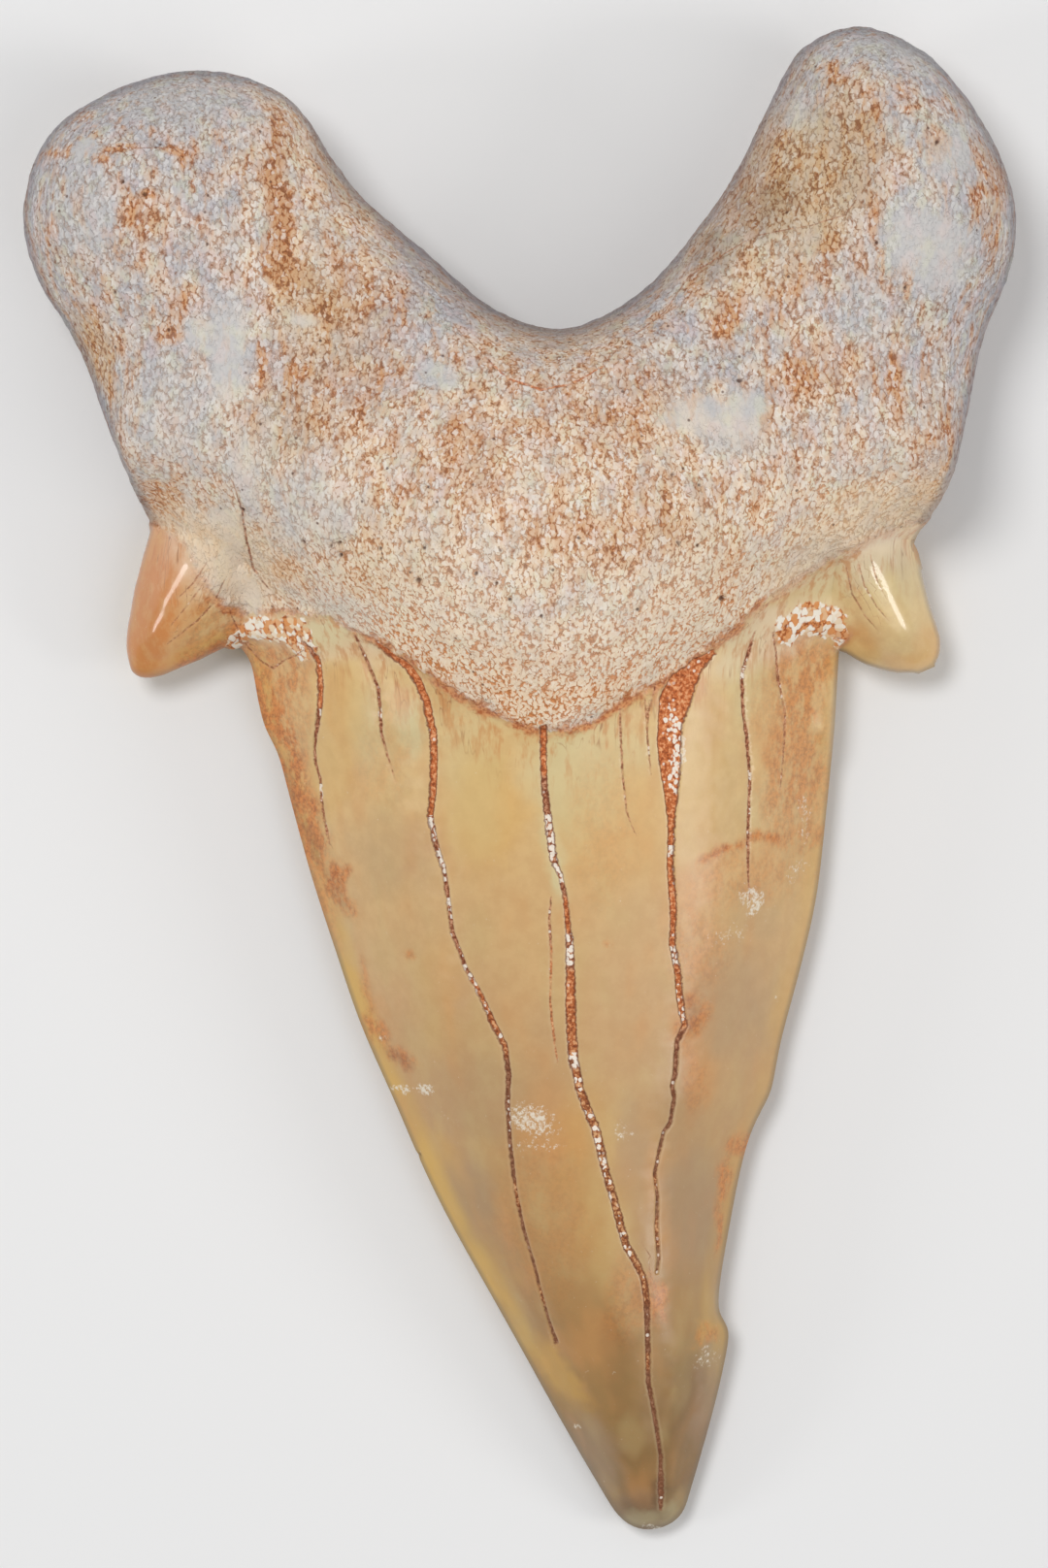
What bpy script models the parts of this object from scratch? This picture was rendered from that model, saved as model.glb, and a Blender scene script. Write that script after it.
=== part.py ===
"""A large fossil shark tooth, lying on its flat lip side with its tongue side up.

One natural piece: a U-shaped root with two lobes, a long blade-like crown that leans
to the right, and a small side cusp at each shoulder. Plan: +X to the right, +Y from the
tip to the root. +Z is up, and Z = 0 is the surface that the tooth rests on.
Sizes below are in millimetres.
"""

import math

import bmesh
import bpy
import numpy as np
from mathutils import Vector
from mathutils.geometry import delaunay_2d_cdt

MM = 0.001
TOOTH_LENGTH = 85.0
DRAWN_LENGTH = 85.0

# Heights of the rim, where the upper and the lower side meet.
CUTTING_EDGE_HEIGHT = 2.0
TIP_EDGE_HEIGHT = 1.3
TIP_SPAN_Y = (-42.7, -30.0)
CUSP_EDGE_HEIGHT = 2.8
ROOT_RIM_HEIGHT = 5.6
RIM_RISE_START = -1.0
RIM_RISE_WIDTH = 6.0

# Upper side of the root: lobes, the bulge between them, and how far its edges are rounded.
LOBE_HEIGHT = 12.8
LOBES_FROM_Y = 22.0
LOBES_BLEND = 10.0
SHOULDER_HEIGHT = 11.0
BULGE_RISE = 7.2
BULGE_CENTRE = (0.6, 13.2)
BULGE_SPREAD = (14.5, 10.5)
SHOULDER_MIDDLE = 1.0
LOBE_INNER_SLOPE = 2.6
LOBE_INNER_WIDTH = 10.0
OUTER_ROUNDING = 7.0
NOTCH_ROUNDING = 3.4
NOTCH_REACH = 3.0
LEDGE_STEP = 0.35
ROOT_RISE_WIDTH = 10.5

# Crown: rise of its ridge above the cutting edges, from the root to the tip.
CROWN_RISE = (
    (14.0, 11.2), (2.4, 10.4), (-10.7, 8.4), (-27.0, 5.6), (-38.0, 3.1), (-41.4, 1.5), (-42.8, 0.2),
)
CROWN_ROUNDNESS = 2.3
CROWN_FLARE = 0.55
CROWN_FLARE_FROM_Y = 7.0
EDGE_HOLLOW = 0.28
EDGE_HOLLOW_WIDTH = 1.1
CUSP_STEEPNESS = 2.5
CUSP_BASE_OUT = 13.5
CUSP_BASE_WIDTH = 4.5
CUSP_BLEND = 0.6
CUSPS_FROM_Y = 2.0

# Lower side: a slightly hollow root, a convex crown and three worn flats that it rests on.
ROOT_HOLLOW = 1.3
ROOT_UNDER_ROUNDING = 4.8
ENAMEL_STEP = 0.4
ENAMEL_STEP_WIDTH = 1.6
CUSP_UNDER_DROP = 1.7
CUSP_UNDER_ROUNDING = 3.5
MIN_EDGE_DROP = 0.02
WORN_DEPTH = 0.16
REST_RADIUS = 9.0
REST_SPOTS = ((-18.5, 31.0), (19.5, 32.5))
CROWN_REST_Y = -21.0
CROWN_BEND = 0.0016

# The faceted surface: point spacing along the rim and the neck, then for each zone the
# distances of its rings from the rim and the step of its grid.
RIM_STEP = 1.3
NECK_STEP = 1.0
NECK_RINGS = (-0.9, 0.45, 1.3)
UPPER_GRID = {
    "root": ((0.06, 0.32, 0.9, 1.8), 0.82),
    "crown": ((0.45, 1.3), 1.25),
    "cusp": ((0.35, 1.0), 0.8),
}
UNDER_GRID = {
    "root": ((0.08, 0.45, 1.5), 1.9),
    "crown": ((0.9,), 2.1),
    "cusp": ((0.3, 1.2), 1.3),
}
CUSP_ZONE_PART = 0.6

# How far its points keep from the rim, the neck and each other, as parts of a step or in mm.
RING_CLEARANCE = 0.9
RING_SPACING = 0.715
GRID_CLEARANCE = 0.55
NECK_CLEARANCE = 0.3
NECK_SPACING = 0.4
NECK_HELD = 0.6
NECK_TOLERANCE = 0.1
SHORTEST_GAP = 1e-3
SAME_POINT = 1e-5
WIDER_THAN_TOOTH = 60.0

# How the grid and the shoulders' height are evened out, clear of the rim and the notch.
GRID_PASSES = 6
SHOULDER_PASSES = 14
SHOULDERS_TO_Y = 26.0
RELAXED_FROM = 1.2
RELAXED_WIDTH = 3.0
SHARP_EDGE_DEGREES = 50

# Which two of four knots each step of the curve's construction lies between.
CURVE_SPANS = (((0, 1), (1, 2), (2, 3)), ((0, 2), (1, 3)), ((1, 2),))

# Outline seen from above, anticlockwise from the tip, as stretches between its corners.
TIP = ((5.4, -41.6), (6.2, -42.4), (7.3, -42.7), (8.5, -42.4), (9.3, -41.7))
RIGHT_EDGE_END = ((9.3, -41.7), (9.9, -39.7), (11.1, -35.4), (11.8, -32.2), (11.9, -31.4))
EDGE_CHIP = ((11.9, -31.4), (11.7, -30.8), (11.2, -30.1))
RIGHT_EDGE_MIDDLE = (
    (11.2, -30.1), (11.4, -28.3), (11.8, -25.9), (12.6, -21.8), (13.2, -19.8), (14.3, -17.7),
)
RIGHT_EDGE = (
    (14.3, -17.7), (14.8, -14.9), (15.9, -10.8), (16.8, -6.9), (17.4, -1.8), (17.8, 2.4), (18.1, 7.3),
)
RIGHT_CUSP_UNDER = (
    (18.1, 7.3), (19.0, 6.7), (20.0, 6.2), (21.4, 5.9), (22.6, 6.0), (23.5, 6.4), (24.0, 7.0),
)
RIGHT_CUSP_SIDE = ((24.0, 7.0), (23.9, 8.1), (23.3, 10.0), (22.8, 12.0), (22.4, 13.6))
RIGHT_LOBE = (
    (22.4, 13.6), (24.2, 16.7), (25.1, 20.2), (26.1, 24.8), (27.8, 29.4), (27.8, 33.0), (25.2, 38.3),
    (22.4, 41.2), (19.1, 42.4), (15.9, 41.2), (13.6, 37.0), (11.9, 33.6), (9.4, 30.2),
)
NOTCH = (
    (9.4, 30.2), (7.6, 28.1), (5.2, 26.3), (2.1, 25.3),
    (-1.0, 26.2), (-5.2, 29.6), (-8.9, 32.8), (-10.8, 35.3),
)
LEFT_LOBE = (
    (-10.8, 35.3), (-12.2, 37.6), (-14.4, 39.2), (-18.2, 39.9), (-22.8, 38.8), (-26.6, 36.1),
    (-28.0, 31.8), (-27.0, 27.9), (-24.7, 24.1), (-22.8, 18.9), (-20.9, 14.4),
)
LEFT_CUSP_SIDE = ((-20.9, 14.4), (-21.5, 12.4), (-22.2, 9.3), (-22.4, 7.3), (-22.1, 6.1), (-21.4, 5.4))
LEFT_CUSP_UNDER = ((-21.4, 5.4), (-20.0, 5.9), (-18.1, 6.7), (-16.0, 7.7))
LEFT_EDGE_SHOULDER = ((-16.0, 7.7), (-15.3, 6.9), (-14.9, 4.9), (-14.4, 2.8), (-13.7, 1.6))
LEFT_EDGE = (
    (-13.7, 1.6), (-12.9, -1.5), (-11.8, -5.5), (-10.4, -9.8), (-9.0, -13.9), (-7.2, -18.0),
    (-4.7, -23.6), (-0.9, -30.5), (3.0, -37.5), (5.4, -41.6),
)
OUTLINE = (
    TIP, RIGHT_EDGE_END, EDGE_CHIP, RIGHT_EDGE_MIDDLE, RIGHT_EDGE, RIGHT_CUSP_UNDER,
    RIGHT_CUSP_SIDE, RIGHT_LOBE, NOTCH, LEFT_LOBE, LEFT_CUSP_SIDE, LEFT_CUSP_UNDER,
    LEFT_EDGE_SHOULDER, LEFT_EDGE,
)
NOTCH_EDGE = RIGHT_LOBE[-3:] + NOTCH[1:] + LEFT_LOBE[1:3]

# Where the root ends on the enamel above, and where the enamel ends under the tooth.
UPPER_NECK = (
    (-20.9, 14.4), (-18.6, 14.0), (-15.6, 12.4), (-13.0, 10.4), (-10.2, 9.0), (-6.2, 6.4),
    (-3.6, 4.7), (0.9, 2.8), (2.3, 2.6), (5.1, 4.0), (9.6, 6.9), (12.6, 8.4), (15.1, 10.5),
    (17.8, 12.2), (20.4, 13.4), (22.4, 13.6),
)
UNDER_NECK = (
    (-20.9, 14.4), (-15.0, 16.0), (-7.0, 14.2), (0.5, 13.2), (8.0, 14.4), (16.0, 16.2), (22.4, 13.6),
)


def curve_through(points, step):
    """Points about one step apart on the smooth curve through the given ones."""
    knots = [Vector(point) for point in points]
    knots = [2 * knots[0] - knots[1], *knots, 2 * knots[-1] - knots[-2]]
    found = []
    for a, b, c, d in zip(knots, knots[1:], knots[2:], knots[3:]):
        times = [0.0]
        for start, end in ((a, b), (b, c), (c, d)):
            times.append(times[-1] + math.sqrt((end - start).length))
        pieces = max(1, round((c - b).length / step))
        found += [on_middle_span((a, b, c, d), times, piece / pieces) for piece in range(pieces)]
    return np.array([*found, tuple(knots[-2])])


def on_middle_span(knots, times, part):
    """The point that lies this part of the way from the second of four knots to the third."""
    time = times[1] + part * (times[2] - times[1])
    layer = knots
    for spans in CURVE_SPANS:
        parts = [(time - times[low]) / (times[high] - times[low]) for low, high in spans]
        layer = [start.lerp(end, part) for start, end, part in zip(layer, layer[1:], parts)]
    return tuple(layer[0])


def outline_points():
    loops = [curve_through(stretch, RIM_STEP)[:-1] for stretch in OUTLINE]
    return np.concatenate(loops)


def distance_to(line, points, closed=False):
    """How far each point is from a line of short straight pieces."""
    ends = np.roll(line, -1, axis=0) if closed else line[1:]
    starts = line if closed else line[:-1]
    along = ends - starts
    nearest = np.full(len(points), np.inf)
    for start, step in zip(starts, along):
        part = np.clip((points - start) @ step / (step @ step), 0, 1)
        gap = np.linalg.norm(points - start - part[:, None] * step, axis=1)
        nearest = np.minimum(nearest, gap)
    return nearest


def inside(loop, points):
    """Which points a closed line surrounds."""
    odd = np.zeros(len(points), bool)
    x, y = points.T
    for (ax, ay), (bx, by) in zip(loop, np.roll(loop, -1, axis=0)):
        if ay != by:
            odd ^= ((ay > y) != (by > y)) & (x < ax + (y - ay) * (bx - ax) / (by - ay))
    return odd


def side_of(line, points):
    """Distance from a neck line, positive on the side of the root."""
    far = WIDER_THAN_TOOTH
    (left_x, left_y), (right_x, right_y) = line[0], line[-1]
    around = ((right_x + far, right_y), (far, far), (-far, far), (left_x - far, left_y))
    above = np.vstack([line, around])
    return np.where(inside(above, points), 1, -1) * distance_to(line, points)


def eased(value):
    value = np.clip(value, 0, 1)
    return value * value * (3 - 2 * value)


def rounded(part):
    """A quarter circle's height, from 0 upright at the rim to 1 level."""
    return np.sqrt(1 - (1 - np.clip(part, 0, 1)) ** 2)


def smooth_max(a, b, width):
    gap = np.clip(0.5 + (a - b) / (2 * width), 0, 1)
    return b + (a - b) * gap + width * gap * (1 - gap)


def edge_place(stretches, y):
    """X of a cutting edge at each height y, from its stretches' own points."""
    points = sorted({point[::-1] for stretch in stretches for point in stretch})
    heights, places = zip(*points)
    return np.interp(y, heights, places)


class Plan:
    """What every height needs to know of a point of the plan."""

    def __init__(self, points, outline):
        self.x, self.y = points.T
        self.rim = distance_to(outline, points, closed=True)
        self.notch = distance_to(curve_through(NOTCH_EDGE, RIM_STEP), points)
        self.neck = side_of(curve_through(UPPER_NECK, NECK_STEP), points)
        self.under_neck = side_of(curve_through(UNDER_NECK, NECK_STEP), points)
        left = edge_place((LEFT_EDGE, LEFT_EDGE_SHOULDER), self.y)
        right = edge_place((RIGHT_EDGE_END[:-1], RIGHT_EDGE_MIDDLE[2:], RIGHT_EDGE), self.y)
        width = right - left + 2 * CROWN_FLARE * np.clip(self.y - CROWN_FLARE_FROM_Y, 0, None)
        self.across = np.clip((2 * self.x - left - right) / width, -1, 1)
        self.cusp_side = self.nearest_of((LEFT_CUSP_SIDE, RIGHT_CUSP_SIDE), points)
        self.cusp_under = self.nearest_of((LEFT_CUSP_UNDER, RIGHT_CUSP_UNDER), points)
        self.blade_edge = self.nearest_of((LEFT_EDGE_SHOULDER, RIGHT_EDGE), points)
        out = np.abs(self.x - SHOULDER_MIDDLE) - CUSP_BASE_OUT
        self.on_cusp = eased(out / CUSP_BASE_WIDTH) * (self.y > CUSPS_FROM_Y)

    @staticmethod
    def nearest_of(stretches, points):
        gaps = [distance_to(curve_through(stretch, RIM_STEP), points) for stretch in stretches]
        return np.minimum(*gaps)


def rim_height(plan):
    """Height of the rim: low at the cutting edges, a little higher on the cusps, highest on the root."""
    crown = np.interp(plan.y, TIP_SPAN_Y, (TIP_EDGE_HEIGHT, CUTTING_EDGE_HEIGHT))
    low = crown + (CUSP_EDGE_HEIGHT - crown) * plan.on_cusp
    return low + (ROOT_RIM_HEIGHT - low) * eased((plan.neck - RIM_RISE_START) / RIM_RISE_WIDTH)


def enamel_height(plan, rim):
    """Upper side of the crown and the cusps."""
    heights, rises = zip(*sorted(CROWN_RISE))
    rise = np.interp(plan.y, heights, rises)
    body = 1 - np.abs(plan.across) ** CROWN_ROUNDNESS
    blade = 1 - EDGE_HOLLOW * np.exp(-plan.rim / EDGE_HOLLOW_WIDTH)
    crown = rim + rise * body * blade
    edges = (plan.cusp_side, plan.cusp_under, 2 * plan.blade_edge)
    nearness = sum(1 / np.maximum(gap, SHORTEST_GAP) for gap in edges)
    cusp = rim + CUSP_STEEPNESS / nearness * plan.on_cusp
    return smooth_max(crown, cusp, np.maximum(CUSP_BLEND * plan.on_cusp, SHORTEST_GAP))


def root_height(plan, rim):
    """Upper side of the root, before its ledge over the enamel."""
    out_x = (plan.x - BULGE_CENTRE[0]) / BULGE_SPREAD[0]
    out_y = (plan.y - BULGE_CENTRE[1]) / BULGE_SPREAD[1]
    bulge = np.exp(-(out_x**2) - out_y**2)
    on_lobe = eased((plan.y - LOBES_FROM_Y) / LOBES_BLEND)
    inner = LOBE_INNER_SLOPE * on_lobe * (1 - eased(plan.notch / LOBE_INNER_WIDTH))
    base = SHOULDER_HEIGHT + (LOBE_HEIGHT - SHOULDER_HEIGHT) * on_lobe
    face = base + BULGE_RISE * bulge - inner
    near_notch = np.exp(-(plan.notch - plan.rim) / NOTCH_REACH)
    rounding = OUTER_ROUNDING + (NOTCH_ROUNDING - OUTER_ROUNDING) * near_notch
    return rim + (face - rim) * rounded(plan.rim / rounding)


def upper_height(plan):
    rim = rim_height(plan)
    enamel = enamel_height(plan, rim)
    root = root_height(plan, rim)
    part = np.sin(0.5 * math.pi * np.clip(plan.neck / ROOT_RISE_WIDTH, 0, 1))
    step = LEDGE_STEP * np.clip(plan.neck / NECK_RINGS[1], 0, 1) * (1 - part)
    return np.where(plan.neck > 0, enamel + step + (root - enamel) * part, enamel)


def lower_height(plan):
    rim = rim_height(plan)
    spots = np.ones(len(plan.x))
    for x, y in REST_SPOTS:
        spots *= 1 - np.exp(-((plan.x - x) ** 2 + (plan.y - y) ** 2) / REST_RADIUS**2)
    root = ROOT_HOLLOW * spots
    root = root + (rim - root) * (1 - rounded(plan.rim / ROOT_UNDER_ROUNDING))
    crown = np.minimum(CROWN_BEND * (plan.y - CROWN_REST_Y) ** 2, ROOT_HOLLOW - ENAMEL_STEP)
    crown = crown + (rim - crown) * plan.across**2
    cusp = rim - CUSP_UNDER_DROP * rounded(plan.rim / CUSP_UNDER_ROUNDING)
    enamel = crown + (cusp - crown) * plan.on_cusp
    enamel = np.minimum(enamel, rim - MIN_EDGE_DROP)
    blend = eased(plan.under_neck / ENAMEL_STEP_WIDTH + 0.5)
    return np.maximum(enamel + (root - enamel) * blend - WORN_DEPTH, 0)


def ring_points(outline, distance):
    """Points this far inside the rim, opposite its own points."""
    ahead = np.roll(outline, -1, axis=0) - np.roll(outline, 1, axis=0)
    inward = np.stack([-ahead[:, 1], ahead[:, 0]], axis=1)
    inward /= np.linalg.norm(inward, axis=1)[:, None]
    points = outline + distance * inward
    clear = distance_to(outline, points, closed=True) > RING_CLEARANCE * distance
    return points[clear & inside(outline, points)]


def lattice(outline, step):
    """A triangular lattice over the outline's box."""
    low = outline.min(axis=0)
    high = outline.max(axis=0)
    row_step = step * math.sqrt(0.75)
    rows = []
    for i, y in enumerate(np.arange(low[1], high[1], row_step)):
        x = np.arange(low[0] + 0.5 * step * (i % 2), high[0], step)
        rows.append(np.stack([x, np.full(len(x), y)], axis=1))
    return np.concatenate(rows)


def beside(line, distance):
    """Points this far beside a line, on the root's side where the distance is positive."""
    ahead = np.gradient(line, axis=0)
    across = np.stack([-ahead[:, 1], ahead[:, 0]], axis=1)
    return line + distance * across / np.linalg.norm(across, axis=1)[:, None]


def thinned(points, taken, gap):
    """The points that keep this gap to the taken ones and to each other."""
    kept = list(taken)
    fresh = []
    for point in points:
        near = np.linalg.norm(np.array(kept) - point, axis=1).min() if kept else gap
        if near >= gap:
            kept.append(point)
            fresh.append(point)
    return fresh


def zone_of(points, neck_gap):
    """Root, crown or cusp for each point of the plan."""
    x, y = points.T
    far_out = np.abs(x - SHOULDER_MIDDLE) > CUSP_BASE_OUT + CUSP_ZONE_PART * CUSP_BASE_WIDTH
    enamel = np.where(far_out & (y > CUSPS_FROM_Y), "cusp", "crown")
    return np.where(neck_gap > 0, "root", enamel)


def rim_rings(outline, neck, grids):
    """Each zone's rings of points along the rim, clear of the neck."""
    found = []
    for zone, (distances, _) in grids.items():
        for distance in distances:
            ring = ring_points(outline, distance)
            neck_gap = side_of(neck, ring)
            wanted = (zone_of(ring, neck_gap) == zone) & (np.abs(neck_gap) > NECK_CLEARANCE)
            found += thinned(ring[wanted], found, min(RING_SPACING, 3 * distance))
    return found


def neck_rings(outline, neck, taken):
    """Rows of points along both sides of the neck."""
    found = []
    for distance in NECK_RINGS:
        ring = beside(neck, distance)
        clear = np.abs(side_of(neck, ring)) > RING_CLEARANCE * abs(distance)
        ring = ring[clear & inside(outline, ring)]
        found += thinned(ring, taken + found, NECK_SPACING)
    return found


def grid_points(outline, neck, grids):
    """Each zone's own lattice, clear of the rings."""
    found = []
    for zone, (rings, step) in grids.items():
        grid = lattice(outline, step)
        neck_gap = side_of(neck, grid)
        clear = distance_to(outline, grid, closed=True) > rings[-1] + GRID_CLEARANCE * step
        past_rings = np.where(neck_gap > 0, neck_gap - NECK_RINGS[-1], NECK_RINGS[0] - neck_gap)
        wanted = (zone_of(grid, neck_gap) == zone) & (past_rings > 0.5 * step)
        found += list(grid[inside(outline, grid) & wanted & clear])
    return found


def sheet(outline, neck, grids):
    """Triangles over the outline that follow one neck line. Its first points are the rim's."""
    count = len(outline)
    start, end = (int(np.linalg.norm(outline - place, axis=1).argmin()) for place in (neck[0], neck[-1]))
    fixed = [*outline, *neck[1:-1]]
    chain = [start, *range(count, len(fixed)), end]
    edges = [(i, (i + 1) % count) for i in range(count)] + list(zip(chain, chain[1:]))
    rings = rim_rings(outline, neck, grids)
    points = fixed + rings
    points += neck_rings(outline, neck, points)
    points += grid_points(outline, neck, grids)
    corners = [Vector(point) for point in points]
    found = delaunay_2d_cdt(corners, edges, [list(range(count))], 1, SAME_POINT)
    return np.array([tuple(point) for point in found[0]]), [tuple(face) for face in found[2]]


def relaxed(points, faces, fixed, passes):
    """Points moved towards the middle of their neighbours in the plan, apart from the fixed ones."""
    ends = np.array([(face[i], face[(i + 1) % 3]) for face in faces for i in range(3)])
    for _ in range(passes):
        total = np.zeros_like(points)
        number = np.zeros(len(points))
        np.add.at(total, ends[:, 0], points[ends[:, 1]])
        np.add.at(number, ends[:, 0], 1)
        middle = total / np.maximum(number, 1)[:, None]
        points = np.where(fixed[:, None], points, 0.5 * points + 0.5 * middle)
    return points


def turned_up(points, faces):
    """The faces, each turned so that it looks up."""
    corners = points[np.array(faces)]
    first = corners[:, 1] - corners[:, 0]
    second = corners[:, 2] - corners[:, 0]
    area = first[:, 0] * second[:, 1] - first[:, 1] * second[:, 0]
    return [face if up > 0 else face[::-1] for face, up in zip(faces, area)]


def side_surface(outline, line, grids, height):
    """One side's points with their heights, its faces, and the plan of its points."""
    neck = curve_through(line, NECK_STEP)
    points, faces = sheet(outline, neck, grids)
    faces = turned_up(points, faces)
    on_rim = distance_to(outline, points, closed=True) < RELAXED_FROM
    fixed = on_rim | (distance_to(neck, points) < NECK_HELD)
    points = relaxed(points, faces, fixed, GRID_PASSES)
    plan = Plan(points, outline)
    surface = np.column_stack([points, height(plan)])
    firm = fixed | (plan.neck < 0) | (plan.y > SHOULDERS_TO_Y)
    calmed = relaxed(surface, faces, firm, SHOULDER_PASSES)[:, 2]
    off_rim = eased((plan.rim - RELAXED_FROM) / RELAXED_WIDTH)
    off_notch = eased((plan.notch - NOTCH_ROUNDING) / RELAXED_WIDTH)
    surface[:, 2] += off_rim * off_notch * (calmed - surface[:, 2])
    return surface, faces, plan


def tooth_mesh():
    """The closed surface: an upper and a lower sheet that share the rim's points."""
    outline = outline_points()
    count = len(outline)
    upper, upper_faces, plan = side_surface(outline, UPPER_NECK, UPPER_GRID, upper_height)
    lower, lower_faces, under_plan = side_surface(outline, UNDER_NECK, UNDER_GRID, lower_height)
    upper[:count, 2] = rim_height(plan)[:count]
    moved = [i if i < count else i - count + len(upper) for i in range(len(lower))]
    faces = upper_faces + [tuple(moved[i] for i in face[::-1]) for face in lower_faces]
    points = np.concatenate([upper, lower[count:]])
    on_root = np.concatenate([plan.neck, under_plan.under_neck[count:]]) > -NECK_TOLERANCE
    return points, faces, on_root


def material(name, color, roughness, subsurface=0.0):
    made = bpy.data.materials.new(name)
    made.use_nodes = True
    shader = made.node_tree.nodes["Principled BSDF"]
    shader.inputs["Base Color"].default_value = (*color, 1.0)
    shader.inputs["Roughness"].default_value = roughness
    shader.inputs["Metallic"].default_value = 0.0
    shader.inputs["Subsurface Weight"].default_value = subsurface
    made.diffuse_color = (*color, 1.0)
    return made


def build_tooth():
    points, faces, on_root = tooth_mesh()
    scale = MM * TOOTH_LENGTH / DRAWN_LENGTH
    middle = 0.5 * (points.min(axis=0) + points.max(axis=0))
    places = (points - (middle[0], middle[1], 0)) * scale
    surface = bmesh.new()
    corners = [surface.verts.new(place) for place in places]
    for face in faces:
        made = surface.faces.new([corners[i] for i in face])
        made.smooth = True
        made.material_index = 0 if all(on_root[i] for i in face) else 1
    mesh = bpy.data.meshes.new("tooth")
    surface.to_mesh(mesh)
    surface.free()
    mesh.materials.append(material("root_bone", (0.56, 0.46, 0.40), 0.85))
    mesh.materials.append(material("enamel", (0.60, 0.37, 0.19), 0.35, 0.1))
    mesh.set_sharp_from_angle(angle=math.radians(SHARP_EDGE_DEGREES))
    tooth = bpy.data.objects.new("tooth", mesh)
    bpy.context.scene.collection.objects.link(tooth)
    return tooth


def clear_scene():
    for thing in list(bpy.data.objects):
        bpy.data.objects.remove(thing, do_unlink=True)


clear_scene()
build_tooth()
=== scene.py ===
"""Looks of a large fossil shark tooth: its fine surface, its colours and a plain studio.

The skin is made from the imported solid, refined and worked over in millimetres.
Places of cracks and stains are given in points of the view from above, 1080 wide and
1616 high, with x to the right and y down. One point is 0.0553 mm on the floor.
"""

import math

import bpy
import numpy as np
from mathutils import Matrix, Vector


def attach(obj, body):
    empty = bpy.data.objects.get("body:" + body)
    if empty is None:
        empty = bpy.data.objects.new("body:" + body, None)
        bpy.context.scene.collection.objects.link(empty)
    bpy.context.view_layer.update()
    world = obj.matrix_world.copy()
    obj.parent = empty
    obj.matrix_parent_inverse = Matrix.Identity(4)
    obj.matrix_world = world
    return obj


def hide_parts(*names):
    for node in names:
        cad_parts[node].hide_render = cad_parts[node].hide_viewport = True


MM = 0.001
MM_IN_METRE = 1000.0

# The view from above: points, then the eye's place in mm, the lens in mm and its range in metres.
VIEW_WIDTH = 1080
VIEW_HEIGHT = 1616
POINT = 0.0553
EYE_HEIGHT = 446.8
EYE_X = 0.26
EYE_Y = -0.10
LENS = 180.0
SENSOR = 36.0
NEAREST_SEEN = 0.01
FARTHEST_SEEN = 20.0

# Lights, all turned to the tooth: name, place and size in metres, power in watts.
LIGHTS = (
    ("key", (-0.16, 0.16, 0.5), 0.22, 1.22),
    ("fill", (0.3, -0.2, 0.5), 0.5, 0.6),
    ("right_glint", (0.95, -0.16, 0.5), 0.34, 2.2),
    ("left_glint", (-1.1, -0.16, 0.5), 0.30, 1.6),
)
WORLD_LIGHT = 0.35
FLOOR_HALF = 3.0
FLOOR_COLOUR = (0.86, 0.86, 0.86, 1)
FLOOR_ROUGHNESS = 0.9

# How finely the skin is divided: steps in mm, bands beside cracks in points.
SHARP_EDGE_DEGREES = 50
WIDE_BAND = 8.0
FINE_BAND = 3.5
CRACK_ROUNDS = 2
CRACK_STEP = 0.15
ROOT_STEP = 0.30

# What a face becomes, by which of its edges are cut: 0, 1, 2 are its corners, 3, 4, 5 the middles.
SPLITS = {
    (0, 0, 0): ((0, 1, 2),),
    (1, 0, 0): ((0, 3, 2), (3, 1, 2)),
    (1, 1, 0): ((3, 1, 4), (0, 3, 4), (0, 4, 2)),
    (1, 1, 1): ((0, 3, 5), (3, 1, 4), (5, 4, 2), (3, 4, 5)),
}

# How far from an outline or a crack its marks reach, and how softly they end, in points.
RIM_REACH = 60.0
RIM_WINDOW = 70.0
CRACK_REACH = 36
CRACK_FAR = 30.0
CRACK_SIDE = 6
SIDE_FADE = 5
END_FADE = 2
FILLING_FADE = 6
NOTCH_FADE = 16

# Heights and depths of the relief in mm.
LEDGE_HEIGHT = 0.04
ROCK_HEIGHT = 0.3
WIDE_CRACK_DEPTH = 0.14
FINE_CRACK_DEPTH = 0.10

# Noises: strength, size of their features in mm, seed, octaves, how far drawn out along y.
NOISES = {
    "sway across": ((14, 1.6, 21, 2), (4, 0.4, 22)),
    "sway down": ((14, 1.6, 23, 2), (4, 0.4, 24)),
    "root waves": ((0.08, 2.4, 11, 2, 1.5),),
    "root grain": ((0.07, 0.42, 12, 2, 1.6),),
    "enamel waves": ((0.02, 4.0, 15, 2, 2.0),),
    "ledge": ((0.14, 0.4, 13),),
    "rock": ((0.22, 0.5, 16, 2),),
    "rubble": ((0.5, 0.24, 14),),
}

# Numbers that stir the noises' seeds and cells.
NEXT_OCTAVE = 7919
CELL_FACTORS = (374761393, 668265263, 2246822519)
STIRRING = ((13, 1274126177), (15, 2246822519))
LAST_SHIFT = 16

# The surface: roughness of enamel and of bare root, the cusps' shine, the height of fine relief.
ENAMEL_ROUGHNESS = 0.34
ROOT_ROUGHNESS = 0.85
ENAMEL_SHINE = 0.06
CUSP_SHINE = 0.85
SHINE_ROUGHNESS = 0.1
BUMP_STRENGTH = 0.7
BUMP_HEIGHT = 0.0002

# Colours of the enamel from the neck down to the tip, with how far down each lies.
ENAMEL_COLOURS = (
    (0.10, 228, 198, 140),
    (0.28, 222, 184, 126),
    (0.45, 206, 166, 116),
    (0.62, 192, 152, 102),
    (0.76, 170, 132, 83),
    (0.90, 149, 116, 69),
    (0.98, 124, 98, 66),
)

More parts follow.
